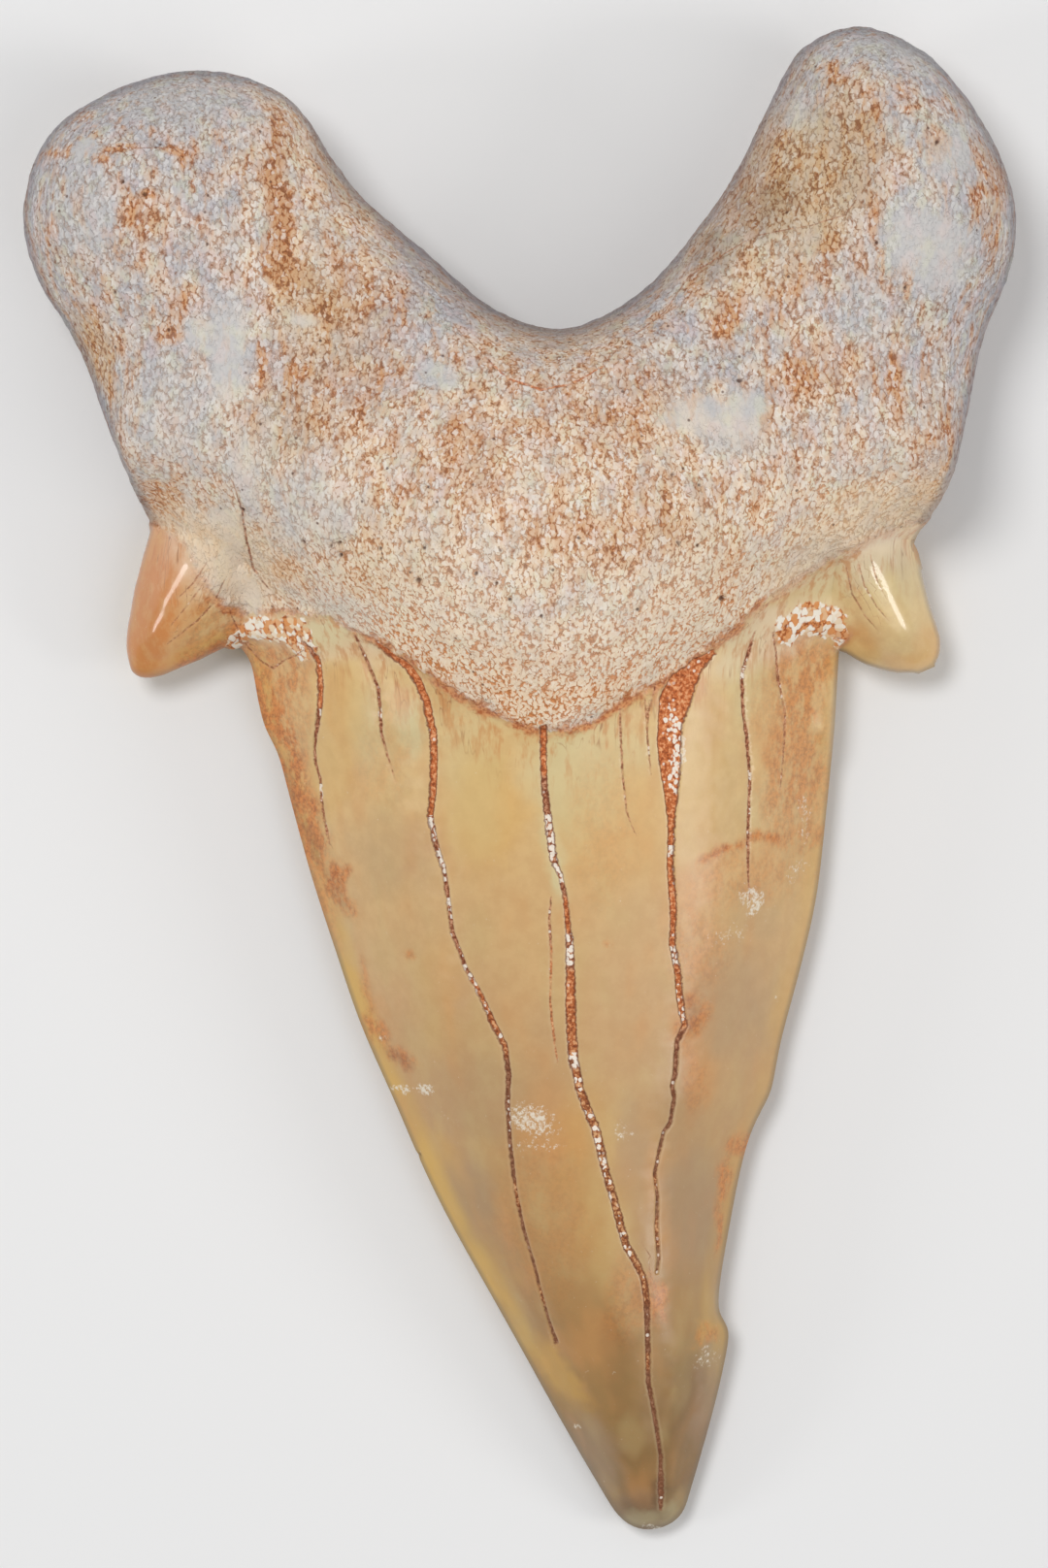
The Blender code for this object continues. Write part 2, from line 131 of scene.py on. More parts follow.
# Where the root ends on the enamel, from the left cusp to the right one.
NECK = (
    (-60, 530), (120, 536), (152, 540), (176, 548), (192, 566), (206, 596), (228, 622), (256, 634),
    (289, 630), (341, 636), (362, 650), (379, 656), (413, 674), (441, 694), (482, 722), (540, 749),
    (568, 755), (609, 746), (643, 722), (692, 698), (733, 667), (760, 646), (781, 622), (833, 591),
    (867, 570), (905, 552), (943, 540), (1140, 520),
)
UNDER_NECK = (
    (-60, 14.4), (-20.9, 14.4), (-15, 16), (-7, 14.2), (0.5, 13.2), (8, 14.4), (16, 16.2),
    (22.4, 13.6), (60, 13.6),
)

# Cracks: points along each, with half its width there. Stretches of filling are given by y,
# some with the share of it that shows.
WIDE_CRACKS = {
    "left": {
        "line": (
            (388, 663, 2), (409, 679, 3), (421, 688, 3.4), (430, 702, 3.8), (439, 723, 3.8),
            (446, 755, 3.6), (447, 782, 3.4), (446, 814, 3.2), (443, 842, 2.6), (449, 872, 2.6),
            (457, 895, 2.2), (460, 915, 2), (466, 961, 1.8), (480, 998, 1.8), (496, 1027, 2.2),
            (508, 1055, 2.8), (520, 1078, 2.6), (524, 1107, 2.2), (523, 1135, 2), (525, 1176, 1.8),
            (531, 1227, 1.6), (539, 1266, 1.4), (549, 1299, 1.3), (558, 1335, 1.3), (566, 1363, 1.2),
            (573, 1384, 2),
        ),
        "orange": ((663, 842), (1010, 1090), (1218, 1246), (1325, 1345)),
        "white": ((842, 864), (876, 900), (900, 1070, 0.45)),
    },
    "middle": {
        "line": (
            (560, 748, 3.4), (560, 778, 3), (561, 810, 2.8), (564, 838, 3.2), (567, 860, 3.8),
            (570, 885, 3.2), (578, 904, 2.2), (583, 929, 2.2), (585, 952, 2.4), (587, 970, 3.6),
            (588, 1007, 4.4), (588, 1033, 4.8), (589, 1064, 4.8), (591, 1094, 4.8), (595, 1108, 4),
            (597, 1121, 4), (604, 1140, 4), (613, 1161, 4.2), (617, 1176, 4), (623, 1203, 3.8),
            (631, 1230, 3.6), (639, 1260, 3.6), (645, 1283, 3.4), (658, 1305, 3.2), (664, 1320, 2.8),
            (667, 1343, 2.8), (667, 1366, 2.2), (668, 1394, 2.2), (668, 1424, 1.9), (673, 1450, 1.8),
            (677, 1473, 1.8), (681, 1500, 1.7), (681, 1536, 2.6), (681, 1556, 1.4),
        ),
        "orange": ((748, 800), (925, 962), (1000, 1090), (1102, 1345), (1395, 1412)),
        "white": ((838, 912), (962, 1000), (1088, 1101), (1101, 1300, 0.3)),
    },
    "right": {
        "line": (
            (736, 672, 3), (718, 686, 7), (704, 704, 14), (696, 722, 16), (691, 745, 12.5),
            (690, 768, 12), (691, 790, 10.5), (692, 810, 8), (692, 828, 5.5), (692, 845, 3.6),
            (692, 860, 3), (691, 893, 3.2), (694, 934, 3.2), (694, 950, 3), (693, 973, 3),
            (699, 1003, 3), (700, 1022, 3.2), (703, 1043, 3), (706, 1056, 2.4), (698, 1073, 2.2),
            (696, 1106, 2.2), (693, 1119, 2), (695, 1131, 1.8), (691, 1157, 1.8), (684, 1167, 1.6),
            (680, 1184, 1.6), (675, 1209, 1.5), (678, 1237, 1.4), (677, 1262, 1.7), (679, 1298, 1.4),
            (677, 1312, 1.2),
        ),
        "orange": ((600, 975), (995, 1060), (1212, 1225), (1255, 1285)),
        "white": ((872, 882), (975, 995), (995, 1060, 0.35)),
    },
}
FINE_CRACKS = {
    "far left": {
        "line": (
            (312, 655, 1.2), (322, 668, 1.6), (328, 682, 2.4), (330, 709, 2.8), (329, 732, 2.2),
            (325, 759, 1.5), (324, 771, 1.3), (325, 787, 1.3), (330, 805, 1.2), (332, 831, 1.2),
            (337, 860, 1.2), (341, 872, 0.8),
        ),
        "orange": ((676, 730),),
        "white": ((730, 738), (806, 824)),
    },
    "inner left": {
        "line": (
            (366, 655, 1.2), (379, 684, 1.5), (390, 711, 1.5), (393, 757, 1.4), (400, 782, 1),
            (408, 806, 0.6),
        ),
        "white": ((725, 740),),
    },
    "middle branch": {
        "line": (
            (568, 925, 0.8), (566, 945, 1.2), (568, 980, 1.2), (567, 1033, 1), (569, 1054, 1.2),
            (575, 1098, 0.7),
        ),
        "orange": ((975, 1100),),
    },
    "far right": {
        "line": (
            (778, 652, 0.9), (771, 674, 1.6), (765, 695, 1.6), (766, 732, 1.5), (770, 762, 1.5),
            (773, 801, 1.5), (772, 824, 1.3), (771, 858, 1.4), (771, 899, 1.1), (773, 930, 0.5),
        ),
        "white": ((686, 698), (796, 806), (832, 840)),
    },
    "right of it": {
        "line": (
            (796, 652, 0.8), (800, 672, 1), (801, 695, 1.2), (806, 718, 1.1), (809, 736, 1),
            (808, 769, 0.8), (804, 814, 0.5),
        ),
    },
    "short": {"line": ((639, 730, 0.7), (640, 766, 1.1), (642, 801, 1.1), (646, 837, 0.9), (654, 858, 0.5))},
    "shorter": {"line": ((665, 722, 0.8), (668, 766, 1), (671, 798, 0.6))},
    "beside the wide one": {"line": ((676, 706, 0.9), (668, 735, 1), (667, 762, 0.7))},
    "root, left": {
        "line": (
            (236, 488, 0.3), (243, 505, 0.6), (250, 530, 1), (254, 556, 1.2), (261, 586, 1),
            (276, 606, 0.6), (289, 619, 0.2),
        ),
    },
    "left cusp, upper": {"line": ((214, 578, 0.4), (200, 600, 0.8), (184, 616, 0.5))},
    "left cusp, middle": {"line": ((216, 592, 0.4), (200, 615, 0.8), (176, 645, 0.5))},
    "left cusp, lower": {"line": ((231, 598, 0.5), (220, 622, 0.9), (203, 640, 0.8), (172, 664, 0.5))},
    "right cusp, inner": {"line": ((872, 585, 0.5), (878, 612, 0.8), (892, 636, 0.7), (905, 650, 0.4))},
    "right cusp, middle": {"line": ((884, 578, 0.5), (891, 604, 0.8), (904, 626, 0.6), (916, 640, 0.4))},
    "right cusp, outer": {"line": ((897, 572, 0.5), (903, 596, 0.7), (913, 616, 0.4))},
    "notch": {
        "line": (
            (472, 340, 0.2), (493, 361, 0.7), (524, 391, 1), (558, 401, 1.2), (590, 395, 1.1),
            (621, 378, 0.8), (644, 351, 0.6), (686, 320, 0.6), (709, 285, 0.6), (725, 274, 0.7),
            (778, 243, 0.6), (836, 232, 0.6), (871, 222, 0.6), (898, 184, 0.3),
        ),
        "orange": ((375, 402),),
    },
    "left lobe": {
        "line": (
            (112, 162, 0.3), (117, 157, 0.5), (130, 151, 0.7), (148, 152, 0.4), (178, 152, 0.6),
            (188, 160, 0.8), (190, 172, 0.3),
        ),
    },
    "left of the neck": {
        "line": (
            (248, 656, 0.4), (256, 668, 0.8), (268, 681, 0.8), (281, 689, 1), (294, 680, 0.8),
            (306, 675, 0.7), (316, 668, 0.4),
        ),
    },
    "above the left notch": {"line": ((236, 628, 0.4), (243, 644, 0.9), (250, 660, 1.1), (262, 666, 0.4))},
}

CRACKS = {"wide": WIDE_CRACKS, "fine": FINE_CRACKS}

# The soft edge of the steep band beside the notch, which is darkened there as painted shade.
NOTCH_BAND = (
    (308, 110), (312, 151), (331, 208), (389, 251), (435, 295), (501, 345), (560, 368), (620, 360),
    (670, 328), (720, 280), (765, 225), (806, 160), (828, 100), (860, 40),
)

# Stains, worn places and some painted shade: x, y, half width, half height, strength, and any turn in
# degrees.
TONES = {
    "warm": (
        (560, 610, 250, 150, 1), (560, 500, 330, 110, 0.8), (860, 430, 110, 130, 0.5),
        (330, 260, 70, 90, 0.8, 30), (780, 230, 80, 110, 0.6, 30), (230, 470, 110, 110, 0.45),
        (300, 180, 60, 120, 0.6), (560, 370, 140, 40, 0.6), (560, 715, 90, 36, 1),
        (170, 300, 120, 120, 0.3), (900, 180, 90, 120, 0.3),
    ),
    "rust": (
        (285, 128, 14, 16, 0.7), (286, 215, 13, 92, 0.9, -3), (299, 285, 24, 16, 0.9),
        (345, 318, 30, 22, 0.7, 20), (149, 201, 8, 6, 1), (146, 226, 11, 22, 0.7),
        (176, 341, 14, 11, 0.8), (186, 312, 9, 22, 0.6), (112, 305, 6, 6, 0.7), (58, 228, 9, 12, 0.5),
        (68, 193, 4, 14, 0.7), (206, 230, 8, 12, 0.6), (230, 132, 8, 6, 0.5),
        (98, 366, 14, 44, 0.55, -22), (330, 390, 75, 45, 0.35), (382, 320, 45, 50, 0.35),
        (863, 83, 10, 11, 0.9), (896, 93, 5, 6, 0.6), (928, 93, 8, 7, 0.6), (936, 112, 14, 4, 0.6),
        (967, 150, 8, 16, 0.8, -10), (1017, 176, 12, 34, 0.6, -15), (1009, 197, 6, 10, 0.5),
        (1022, 235, 9, 30, 0.4), (875, 150, 40, 44, 0.42), (855, 205, 42, 28, 0.42),
        (812, 162, 26, 28, 0.45), (786, 205, 36, 32, 0.5), (859, 251, 16, 12, 0.6),
        (903, 239, 5, 26, 0.8, -5), (934, 289, 5, 18, 0.7), (809, 289, 26, 16, 0.45),
        (748, 322, 13, 32, 0.5), (855, 376, 48, 28, 0.42), (925, 400, 8, 32, 0.8),
        (648, 388, 6, 28, 0.6), (975, 222, 10, 8, 0.4), (289, 585, 9, 9, 0.9), (421, 508, 11, 11, 0.6),
        (485, 467, 26, 55, 0.4), (430, 599, 7, 7, 1), (380, 600, 16, 17, 0.5),
        (639, 554, 90, 30, 0.4), (744, 590, 22, 22, 0.6), (560, 700, 120, 40, 0.35),
        (540, 722, 40, 14, 0.6, 8), (480, 690, 40, 12, 0.4, 30), (640, 420, 70, 40, 0.25),
        (965, 480, 20, 50, 0.3, 10), (290, 690, 30, 26, 0.75), (303, 745, 22, 34, 0.45),
        (322, 868, 16, 26, 0.9, -20), (345, 908, 10, 30, 1, -25), (362, 932, 8, 10, 0.8, -30),
        (385, 1062, 8, 16, 0.8, -30), (411, 1090, 7, 16, 0.9, -50), (378, 1020, 5, 40, 0.55, -12),
        (450, 700, 16, 50, 0.3, -25), (821, 715, 24, 55, 0.55), (798, 735, 20, 60, 0.3),
        (746, 877, 28, 5, 0.95, -21), (790, 862, 26, 6, 0.9, -8), (822, 862, 26, 16, 0.6),
        (770, 905, 60, 26, 0.4, -10), (818, 790, 32, 60, 0.7), (292, 780, 20, 130, 0.95, -19),
        (285, 700, 36, 40, 0.7, -12), (826, 712, 26, 60, 0.75, 4), (836, 800, 12, 50, 0.6, 4),
        (318, 905, 12, 60, 0.5, -22), (713, 1053, 13, 28, 0.8, 8), (722, 975, 26, 44, 0.4),
        (715, 1110, 14, 30, 0.35), (624, 973, 4, 4, 0.9), (421, 986, 5, 5, 0.7),
        (779, 900, 10, 26, 0.4), (400, 770, 30, 60, 0.2), (673, 1340, 12, 24, 0.7),
        (645, 1340, 18, 40, 0.35), (747, 1215, 6, 22, 0.8, 8), (740, 1262, 5, 26, 0.7, 5),
        (764, 1178, 9, 12, 0.7, 20), (727, 1374, 13, 13, 0.6), (480, 700, 30, 26, 0.35),
        (620, 850, 30, 80, 0.2), (150, 640, 34, 90, 0.85, 8), (225, 672, 48, 16, 0.95, -20),
        (205, 645, 40, 30, 0.5, -20), (168, 512, 20, 22, 0.6), (212, 560, 10, 22, 0.6),
        (292, 585, 12, 14, 0.7), (240, 610, 8, 10, 0.4), (955, 668, 14, 20, 0.25),
        (560, 1250, 40, 90, 0.2), (130, 153, 14, 5, 0.8, -10), (178, 155, 12, 4, 0.8, 10),
        (190, 167, 4, 8, 0.6), (108, 168, 8, 5, 0.5), (62, 158, 16, 4, 0.5), (866, 658, 12, 9, 0.9),
        (810, 652, 16, 9, 0.6), (246, 652, 14, 26, 0.85, -25),
    ),
    "gloss": (
        (158, 620, 40, 90, 1, 12), (925, 632, 52, 80, 1, -20),
    ),
    "cream": (
        (225, 575, 70, 46, 1, 20), (290, 640, 60, 22, 0.8, 10), (905, 545, 90, 40, 1, -25),
        (800, 655, 60, 24, 0.8, -30), (340, 660, 60, 18, 0.6, 15), (840, 575, 60, 14, 1, -32),
        (205, 560, 60, 26, 1, 20),
    ),
    "pale": (
        (662, 1566, 22, 8, 0.9, -4), (692, 1560, 10, 10, 0.6), (238, 566, 14, 34, 0.9),
        (210, 566, 9, 12, 1), (228, 532, 20, 10, 0.7), (258, 605, 10, 22, 0.8, -30),
        (235, 366, 22, 50, 0.9), (205, 347, 22, 20, 0.8), (320, 331, 15, 6, 1),
        (93, 155, 13, 12, 0.8), (89, 224, 28, 44, 0.6), (451, 389, 15, 15, 0.8),
        (180, 420, 50, 60, 0.5), (200, 108, 70, 26, 0.5), (955, 251, 42, 46, 0.9),
        (982, 158, 22, 30, 0.9), (948, 55, 26, 16, 0.7), (817, 116, 16, 17, 0.7),
        (928, 135, 16, 16, 0.7), (880, 50, 40, 18, 0.4), (717, 430, 40, 18, 0.8),
        (763, 422, 20, 22, 0.9), (890, 320, 30, 30, 0.5), (760, 452, 34, 20, 0.9),
        (321, 522, 44, 44, 0.6), (257, 485, 24, 40, 0.6), (330, 240, 12, 20, 0.4),
        (600, 640, 120, 60, 0.3), (700, 590, 40, 40, 0.3), (470, 600, 60, 60, 0.3),
        (425, 750, 15, 26, 1), (378, 752, 20, 40, 0.6), (594, 800, 44, 60, 0.8),
        (728, 790, 28, 100, 0.2), (485, 795, 30, 80, 0.45), (340, 640, 50, 22, 0.8, 10),
        (570, 860, 9, 60, 0.6, -8), (768, 700, 20, 50, 0.5), (850, 590, 40, 30, 0.6, -20),
        (240, 590, 20, 50, 0.5), (575, 898, 6, 20, 1, -8), (790, 830, 26, 24, 0.4),
        (640, 770, 30, 30, 0.5), (920, 590, 40, 30, 0.4),
    ),
    "smooth": (
        (238, 570, 12, 34, 1), (228, 532, 16, 8, 0.8), (258, 605, 9, 22, 1, -30),
        (205, 575, 30, 40, 0.5), (235, 366, 20, 46, 0.9), (205, 347, 16, 14, 0.7),
        (320, 331, 15, 6, 1), (93, 155, 13, 12, 0.9), (955, 251, 38, 42, 0.8),
        (982, 158, 18, 26, 0.7), (717, 430, 40, 18, 1), (763, 430, 26, 24, 1),
        (451, 389, 12, 12, 0.7), (257, 485, 14, 30, 0.5), (817, 116, 12, 12, 0.5),
    ),
    "yellow": (
        (352, 730, 22, 60, 0.4), (340, 800, 22, 40, 0.4), (500, 830, 40, 60, 0.5),
        (455, 1020, 20, 60, 0.2), (470, 1230, 16, 100, 0.5, -28), (577, 1416, 13, 44, 0.8, -30),
        (726, 815, 22, 56, 0.6), (727, 1372, 14, 14, 0.7), (610, 1180, 30, 60, 0.3),
        (620, 1250, 30, 60, 0.3), (640, 850, 60, 60, 0.3), (840, 185, 55, 90, 0.8, 20),
        (790, 255, 40, 60, 0.4, 40), (330, 330, 40, 60, 0.5, -40), (290, 440, 44, 40, 0.4),
        (400, 570, 60, 40, 0.3), (98, 366, 16, 44, 0.6, -22), (720, 560, 60, 40, 0.25),
    ),
    "grey": (
        (410, 880, 44, 40, 0.35), (754, 1030, 34, 60, 0.5), (480, 1243, 26, 46, 0.6),
        (713, 1250, 30, 70, 0.7), (500, 1130, 50, 40, 0.35), (730, 1430, 12, 56, 0.9, 6),
        (613, 1500, 22, 40, 0.7, -30), (650, 1180, 16, 40, 0.35), (700, 1150, 20, 60, 0.35),
        (660, 1555, 30, 18, 0.5), (560, 1100, 20, 60, 0.2), (776, 940, 20, 30, 0.3),
    ),
    # Brown: stains, and painted shade on the lobes' slopes that face the notch.
    "brown": (
        (668, 1568, 40, 24, 0.65), (240, 664, 30, 8, 0.4, -14), (150, 700, 24, 8, 0.3),
        (680, 1537, 9, 13, 1), (705, 1440, 16, 54, 0.6, 4), (665, 1480, 30, 50, 0.35),
        (640, 1400, 20, 50, 0.3), (786, 212, 34, 30, 0.6, -40), (735, 262, 34, 20, 0.6, -42),
        (720, 1500, 18, 44, 0.45), (870, 150, 54, 50, 0.12), (286, 215, 18, 95, 0.14, -3),
        (340, 270, 36, 60, 0.16, -30), (905, 588, 26, 16, 0.22), (925, 665, 30, 22, 0.12),
        (500, 1265, 20, 44, 0.14, -28), (145, 650, 18, 50, 0.12, 8), (730, 815, 24, 60, 0.14),
        (712, 1052, 9, 22, 0.4, 5), (322, 868, 6, 24, 0.5, -25), (411, 1092, 4, 16, 0.5, -50),
        (300, 815, 6, 30, 0.35, -10), (345, 912, 5, 26, 0.3, -25),
    ),
    "scuff": (
        (776, 930, 14, 13, 0.9), (754, 962, 22, 9, 0.5), (826, 842, 6, 24, 0.6),
        (820, 896, 12, 10, 0.7, -20), (549, 1153, 26, 15, 0.9, 10), (413, 1121, 9, 5, 1),
        (438, 1123, 10, 5, 1, 10), (560, 1183, 26, 9, 0.5, 5), (644, 1164, 12, 9, 0.6),
        (726, 1398, 12, 10, 0.6), (390, 1068, 3.5, 3.5, 1), (637, 928, 3, 3, 0.7),
        (697, 768, 7, 30, 0.95), (696, 800, 6, 16, 0.9), (690, 735, 6, 8, 0.7),
        (593, 1470, 5, 3, 0.8, 20), (672, 1574, 12, 3, 0.7), (463, 1156, 9, 6, 0.4),
        (735, 1030, 3, 5, 0.4), (800, 1028, 3, 3, 0.6),
    ),
    "matrix": (
        (842, 638, 26, 16, 1, 10), (812, 646, 14, 11, 1), (858, 652, 11, 11, 0.9),
        (280, 644, 33, 12, 1, -8), (248, 660, 10, 8, 0.9), (318, 660, 16, 13, 0.8, 20),
    ),
}

# Small dark pits: x, y, radius in points, depth in mm.
PITS = (
    (149, 200, 3.4, 0.35), (430, 599, 3.6, 0.3), (744, 617, 3.4, 0.25), (350, 573, 3.2, 0.3),
    (348, 560, 2.6, 0.25), (250, 526, 2.2, 0.2), (312, 559, 2.2, 0.2), (341, 562, 2.4, 0.2),
    (391, 567, 2.4, 0.2), (392, 577, 2, 0.2), (420, 559, 2.2, 0.2), (437, 564, 2.4, 0.2),
    (491, 592, 2.4, 0.2), (512, 601, 2, 0.2), (525, 618, 2.4, 0.2), (558, 636, 2.2, 0.2),
    (657, 629, 2.6, 0.2), (591, 588, 2, 0.2), (598, 554, 2.4, 0.2), (719, 563, 2.4, 0.2),
    (694, 488, 2.6, 0.2), (700, 560, 2.8, 0.25), (515, 566, 2.4, 0.2), (126, 187, 2.6, 0.2),
    (909, 57, 2, 0.15), (762, 392, 3, 0.2), (930, 322, 2.2, 0.2), (967, 146, 3, 0.25),
    (934, 296, 2.6, 0.2), (903, 250, 2, 0.15), (173, 340, 2.6, 0.2), (431, 1188, 2.4, 0.15),
    (118, 303, 2.2, 0.15), (720, 500, 2.2, 0.2), (800, 470, 2.2, 0.15),
)


def tint(red, green, blue):
    """A linear colour from the eye's 0 to 255 scale."""
    return tuple((value / 255) ** 2.2 for value in (red, green, blue)) + (1.0,)


def solid_of(node):
    """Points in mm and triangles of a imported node, with equal points merged."""
    mesh = node.data
    places = np.empty(len(mesh.vertices) * 3, np.float32)
    mesh.vertices.foreach_get("co", places)
    mesh.calc_loop_triangles()
    faces = np.empty(len(mesh.loop_triangles) * 3, np.int32)
    mesh.loop_triangles.foreach_get("vertices", faces)
    grid = np.round(places.reshape(-1, 3) * 1e7).astype(np.int64)
    grid, index = np.unique(grid, axis=0, return_inverse=True)
    faces = index.reshape(-1)[faces].reshape(-1, 3)
    whole = (faces != np.roll(faces, 1, axis=1)).all(axis=1)
    return grid * 1e-4, faces[whole]


def crosses(points, faces):
    """A vector square to each face, twice its area long."""
    a, b, c = (points[faces[:, i]] for i in range(3))
    return np.cross(b - a, c - a)


def unit(vectors):
    return vectors / np.maximum(np.linalg.norm(vectors, axis=1), 1e-12)[:, None]


def point_normals(points, faces):
    across = crosses(points, faces)
    total = np.zeros_like(points)
    for corner in range(3):
        np.add.at(total, faces[:, corner], across)
    return unit(total)


def number_of(edges, total):
    """One number for each edge between two of this many points."""
    edges = np.sort(edges, axis=1).astype(np.int64)
    return edges[:, 0] * total + edges[:, 1]


class Skin:
    """A triangle surface that can be divided. Faces know whether they look down."""

    def __init__(self, points, faces):
        self.points = points
        self.faces = faces
        normals = unit(crosses(points, faces))
        self.under = normals[:, 2] < 0
        self.find_edges()
        one, other = self.sides.T
        turn = np.einsum("ij,ij->i", normals[one], normals[other])
        self.sharp = turn < math.cos(math.radians(SHARP_EDGE_DEGREES))

    def find_edges(self):
        """Lists the edges, each face's own three, and the two faces beside each edge."""
        pairs = np.stack([self.faces, np.roll(self.faces, -1, axis=1)], axis=2).reshape(-1, 2)
        pairs.sort(axis=1)
        self.edges, index = np.unique(pairs, axis=0, return_inverse=True)
        index = index.reshape(-1)
        self.face_edges = index.reshape(-1, 3)
        order = np.argsort(index, kind="stable")
        self.sides = (order // 3).reshape(-1, 2)
        apex = np.roll(self.faces, 1, axis=1).reshape(-1)
        self.apexes = apex[order].reshape(-1, 2)

    def lengths(self):
        ends = self.points[self.edges]
        return np.linalg.norm(ends[:, 0] - ends[:, 1], axis=1)

    def beside_points(self, edges):
        """For each point, the sum of its neighbours along these edges, and their number."""
        total = np.zeros_like(self.points)
        np.add.at(total, edges[:, 0], self.points[edges[:, 1]])
        np.add.at(total, edges[:, 1], self.points[edges[:, 0]])
        return total, np.bincount(edges.reshape(-1), minlength=len(self.points))

    def smoothed(self):
        """Smoother places of the points and of the edges' middles, with sharp edges kept."""
        total, number = self.beside_points(self.edges)
        weight = np.where(number > 3, 3 / (8 * np.maximum(number, 1)), 3 / 16)[:, None]
        smooth = (1 - number[:, None] * weight) * self.points + weight * total
        along, on_crease = self.beside_points(self.edges[self.sharp])
        places = np.where((on_crease == 2)[:, None], 0.75 * self.points + 0.125 * along, smooth)
        corner = (on_crease == 1) | (on_crease > 2)
        places = np.where(corner[:, None], self.points, places)
        ends = self.points[self.edges].sum(axis=1)
        apexes = self.points[self.apexes].sum(axis=1)
        middles = np.where(self.sharp[:, None], 0.5 * ends, 0.375 * ends + 0.125 * apexes)
        return places, middles

    def divide(self, wanted, smooth=True):
        """Puts a point on each wanted edge and divides the faces beside it."""
        if smooth:
            places, middles = self.smoothed()
        else:
            places = self.points
            middles = self.points[self.edges].mean(axis=1)
        number = np.full(len(self.edges), -1)
        number[wanted] = len(places) + np.arange(wanted.sum())
        creases = self.edges[self.sharp & ~wanted]
        cut = self.sharp & wanted
        halves = [np.stack([self.edges[cut, side], number[cut]], axis=1) for side in (0, 1)]
        creases = np.concatenate([creases, *halves])
        self.points = np.concatenate([places, middles[wanted]])
        self.split_faces(number)
        self.find_edges()
        total = len(self.points)
        self.sharp = np.isin(number_of(self.edges, total), number_of(creases, total))

    def split_faces(self, number):
        """Faces with one, two or three numbered edges become two, three or four."""
        marked = number[self.face_edges] >= 0
        faces, under = [], []
        for cut, triangles in SPLITS.items():
            for turn in range(3 if 0 in cut and 1 in cut else 1):
                rows = (np.roll(marked, -turn, axis=1) == cut).all(axis=1)
                corners = np.roll(self.faces[rows], -turn, axis=1)
                middles = number[np.roll(self.face_edges[rows], -turn, axis=1)]
                six = np.concatenate([corners, middles], axis=1)
                faces += [six[:, triangle] for triangle in triangles]
                under += [self.under[rows]] * len(triangles)
        self.faces = np.concatenate(faces)
        self.under = np.concatenate(under)


def in_view(points):
    """Where each point shows in the view from above."""
    nearer = EYE_HEIGHT / (EYE_HEIGHT - points[:, 2]) / POINT
    x = VIEW_WIDTH / 2 + (points[:, 0] - EYE_X) * nearer
    y = VIEW_HEIGHT / 2 - (points[:, 1] - EYE_Y) * nearer
    return np.stack([x, y], axis=1)


def eased(value):
    """0 to 1, with a soft start and end."""
    value = np.clip(value, 0, 1)
    return value * value * (3 - 2 * value)


def scattered(cell, seed):
    """A steady number from -1 to 1 for each whole-numbered cell."""
    mixed = np.full(len(cell), seed, np.uint32)
    for axis, factor in enumerate(CELL_FACTORS):
        mixed += cell[:, axis].astype(np.uint32) * np.uint32(factor)
    for shift, factor in STIRRING:
        mixed = (mixed ^ (mixed >> np.uint32(shift))) * np.uint32(factor)
    return (mixed ^ (mixed >> np.uint32(LAST_SHIFT))) / 2.0**31 - 1


def cloud(points, size, seed, octaves=1, stretch=1.0):
    """Soft noise from -1 to 1 with features of this size in mm, drawn out along y."""
    total = np.zeros(len(points))
    reach = 0.0
    for octave in range(octaves):
        places = points * 2**octave / (size, size * stretch, size) + 1000
        low = np.floor(places).astype(np.int64)
        part = eased(places - low)
        value = np.zeros(len(points))
        for corner in np.ndindex(2, 2, 2):
            share = np.prod(np.where(corner, part, 1 - part), axis=1)
            value += share * scattered(low + corner, seed + NEXT_OCTAVE * octave)
        total += value / 2**octave
        reach += 1 / 2**octave
    return total / reach


def relief(name, points):
    """The noises of this name, added up."""
    return sum(strength * cloud(points, *rest) for strength, *rest in NOISES[name])


def beside(line, places, reach=np.inf):
    """Signed distance from a line, its other numbers at the nearest point, how far past its ends.

    The distance is positive on the left of the line's direction, as the view is drawn,
    and infinite for places farther than the reach.
    """
    line = np.array(line, float)
    offset = np.full(len(places), np.inf)
    values = np.zeros((len(places), line.shape[1] - 2))
    past = np.zeros(len(places))
    for number, (start, end) in enumerate(zip(line, line[1:])):
        low = np.minimum(start, end)[:2] - reach
        high = np.maximum(start, end)[:2] + reach
        near = np.flatnonzero(((places > low) & (places < high)).all(axis=1))
        step = end[:2] - start[:2]
        away = places[near] - start[:2]
        along = away @ step / (step @ step)
        part = np.clip(along, 0, 1)
        distance = np.hypot(*(away - part[:, None] * step).T)
        side = np.where(step[1] * away[:, 0] > step[0] * away[:, 1], 1, -1)
        closer = distance < np.abs(offset[near])
        rows = near[closer]
        offset[rows] = (side * distance)[closer]
        values[rows] = start[2:] + part[closer, None] * (end[2:] - start[2:])
        before = -along if number == 0 else -np.inf
        after = along - 1 if number == len(line) - 2 else -np.inf
        beyond = np.maximum(np.maximum(before, after), 0) * np.hypot(*step)
        past[rows] = np.broadcast_to(beyond, len(near))[closer]
    return offset, values, past


def within(stretches, y):
    """How far each y lies in the given stretches, from 0 to the stretch's share."""
    found = np.zeros(len(y))
    for start, end, *share in stretches:
        strength = share[0] if share else 1.0
        begun = eased((y - start) / FILLING_FADE + 0.5)
        left = eased((end - y) / FILLING_FADE + 0.5)
        found = np.maximum(found, strength * begun * left)
    return found


NO_CRACK = (CRACK_FAR, 1.0, 0.0, 0.0, 0.0)


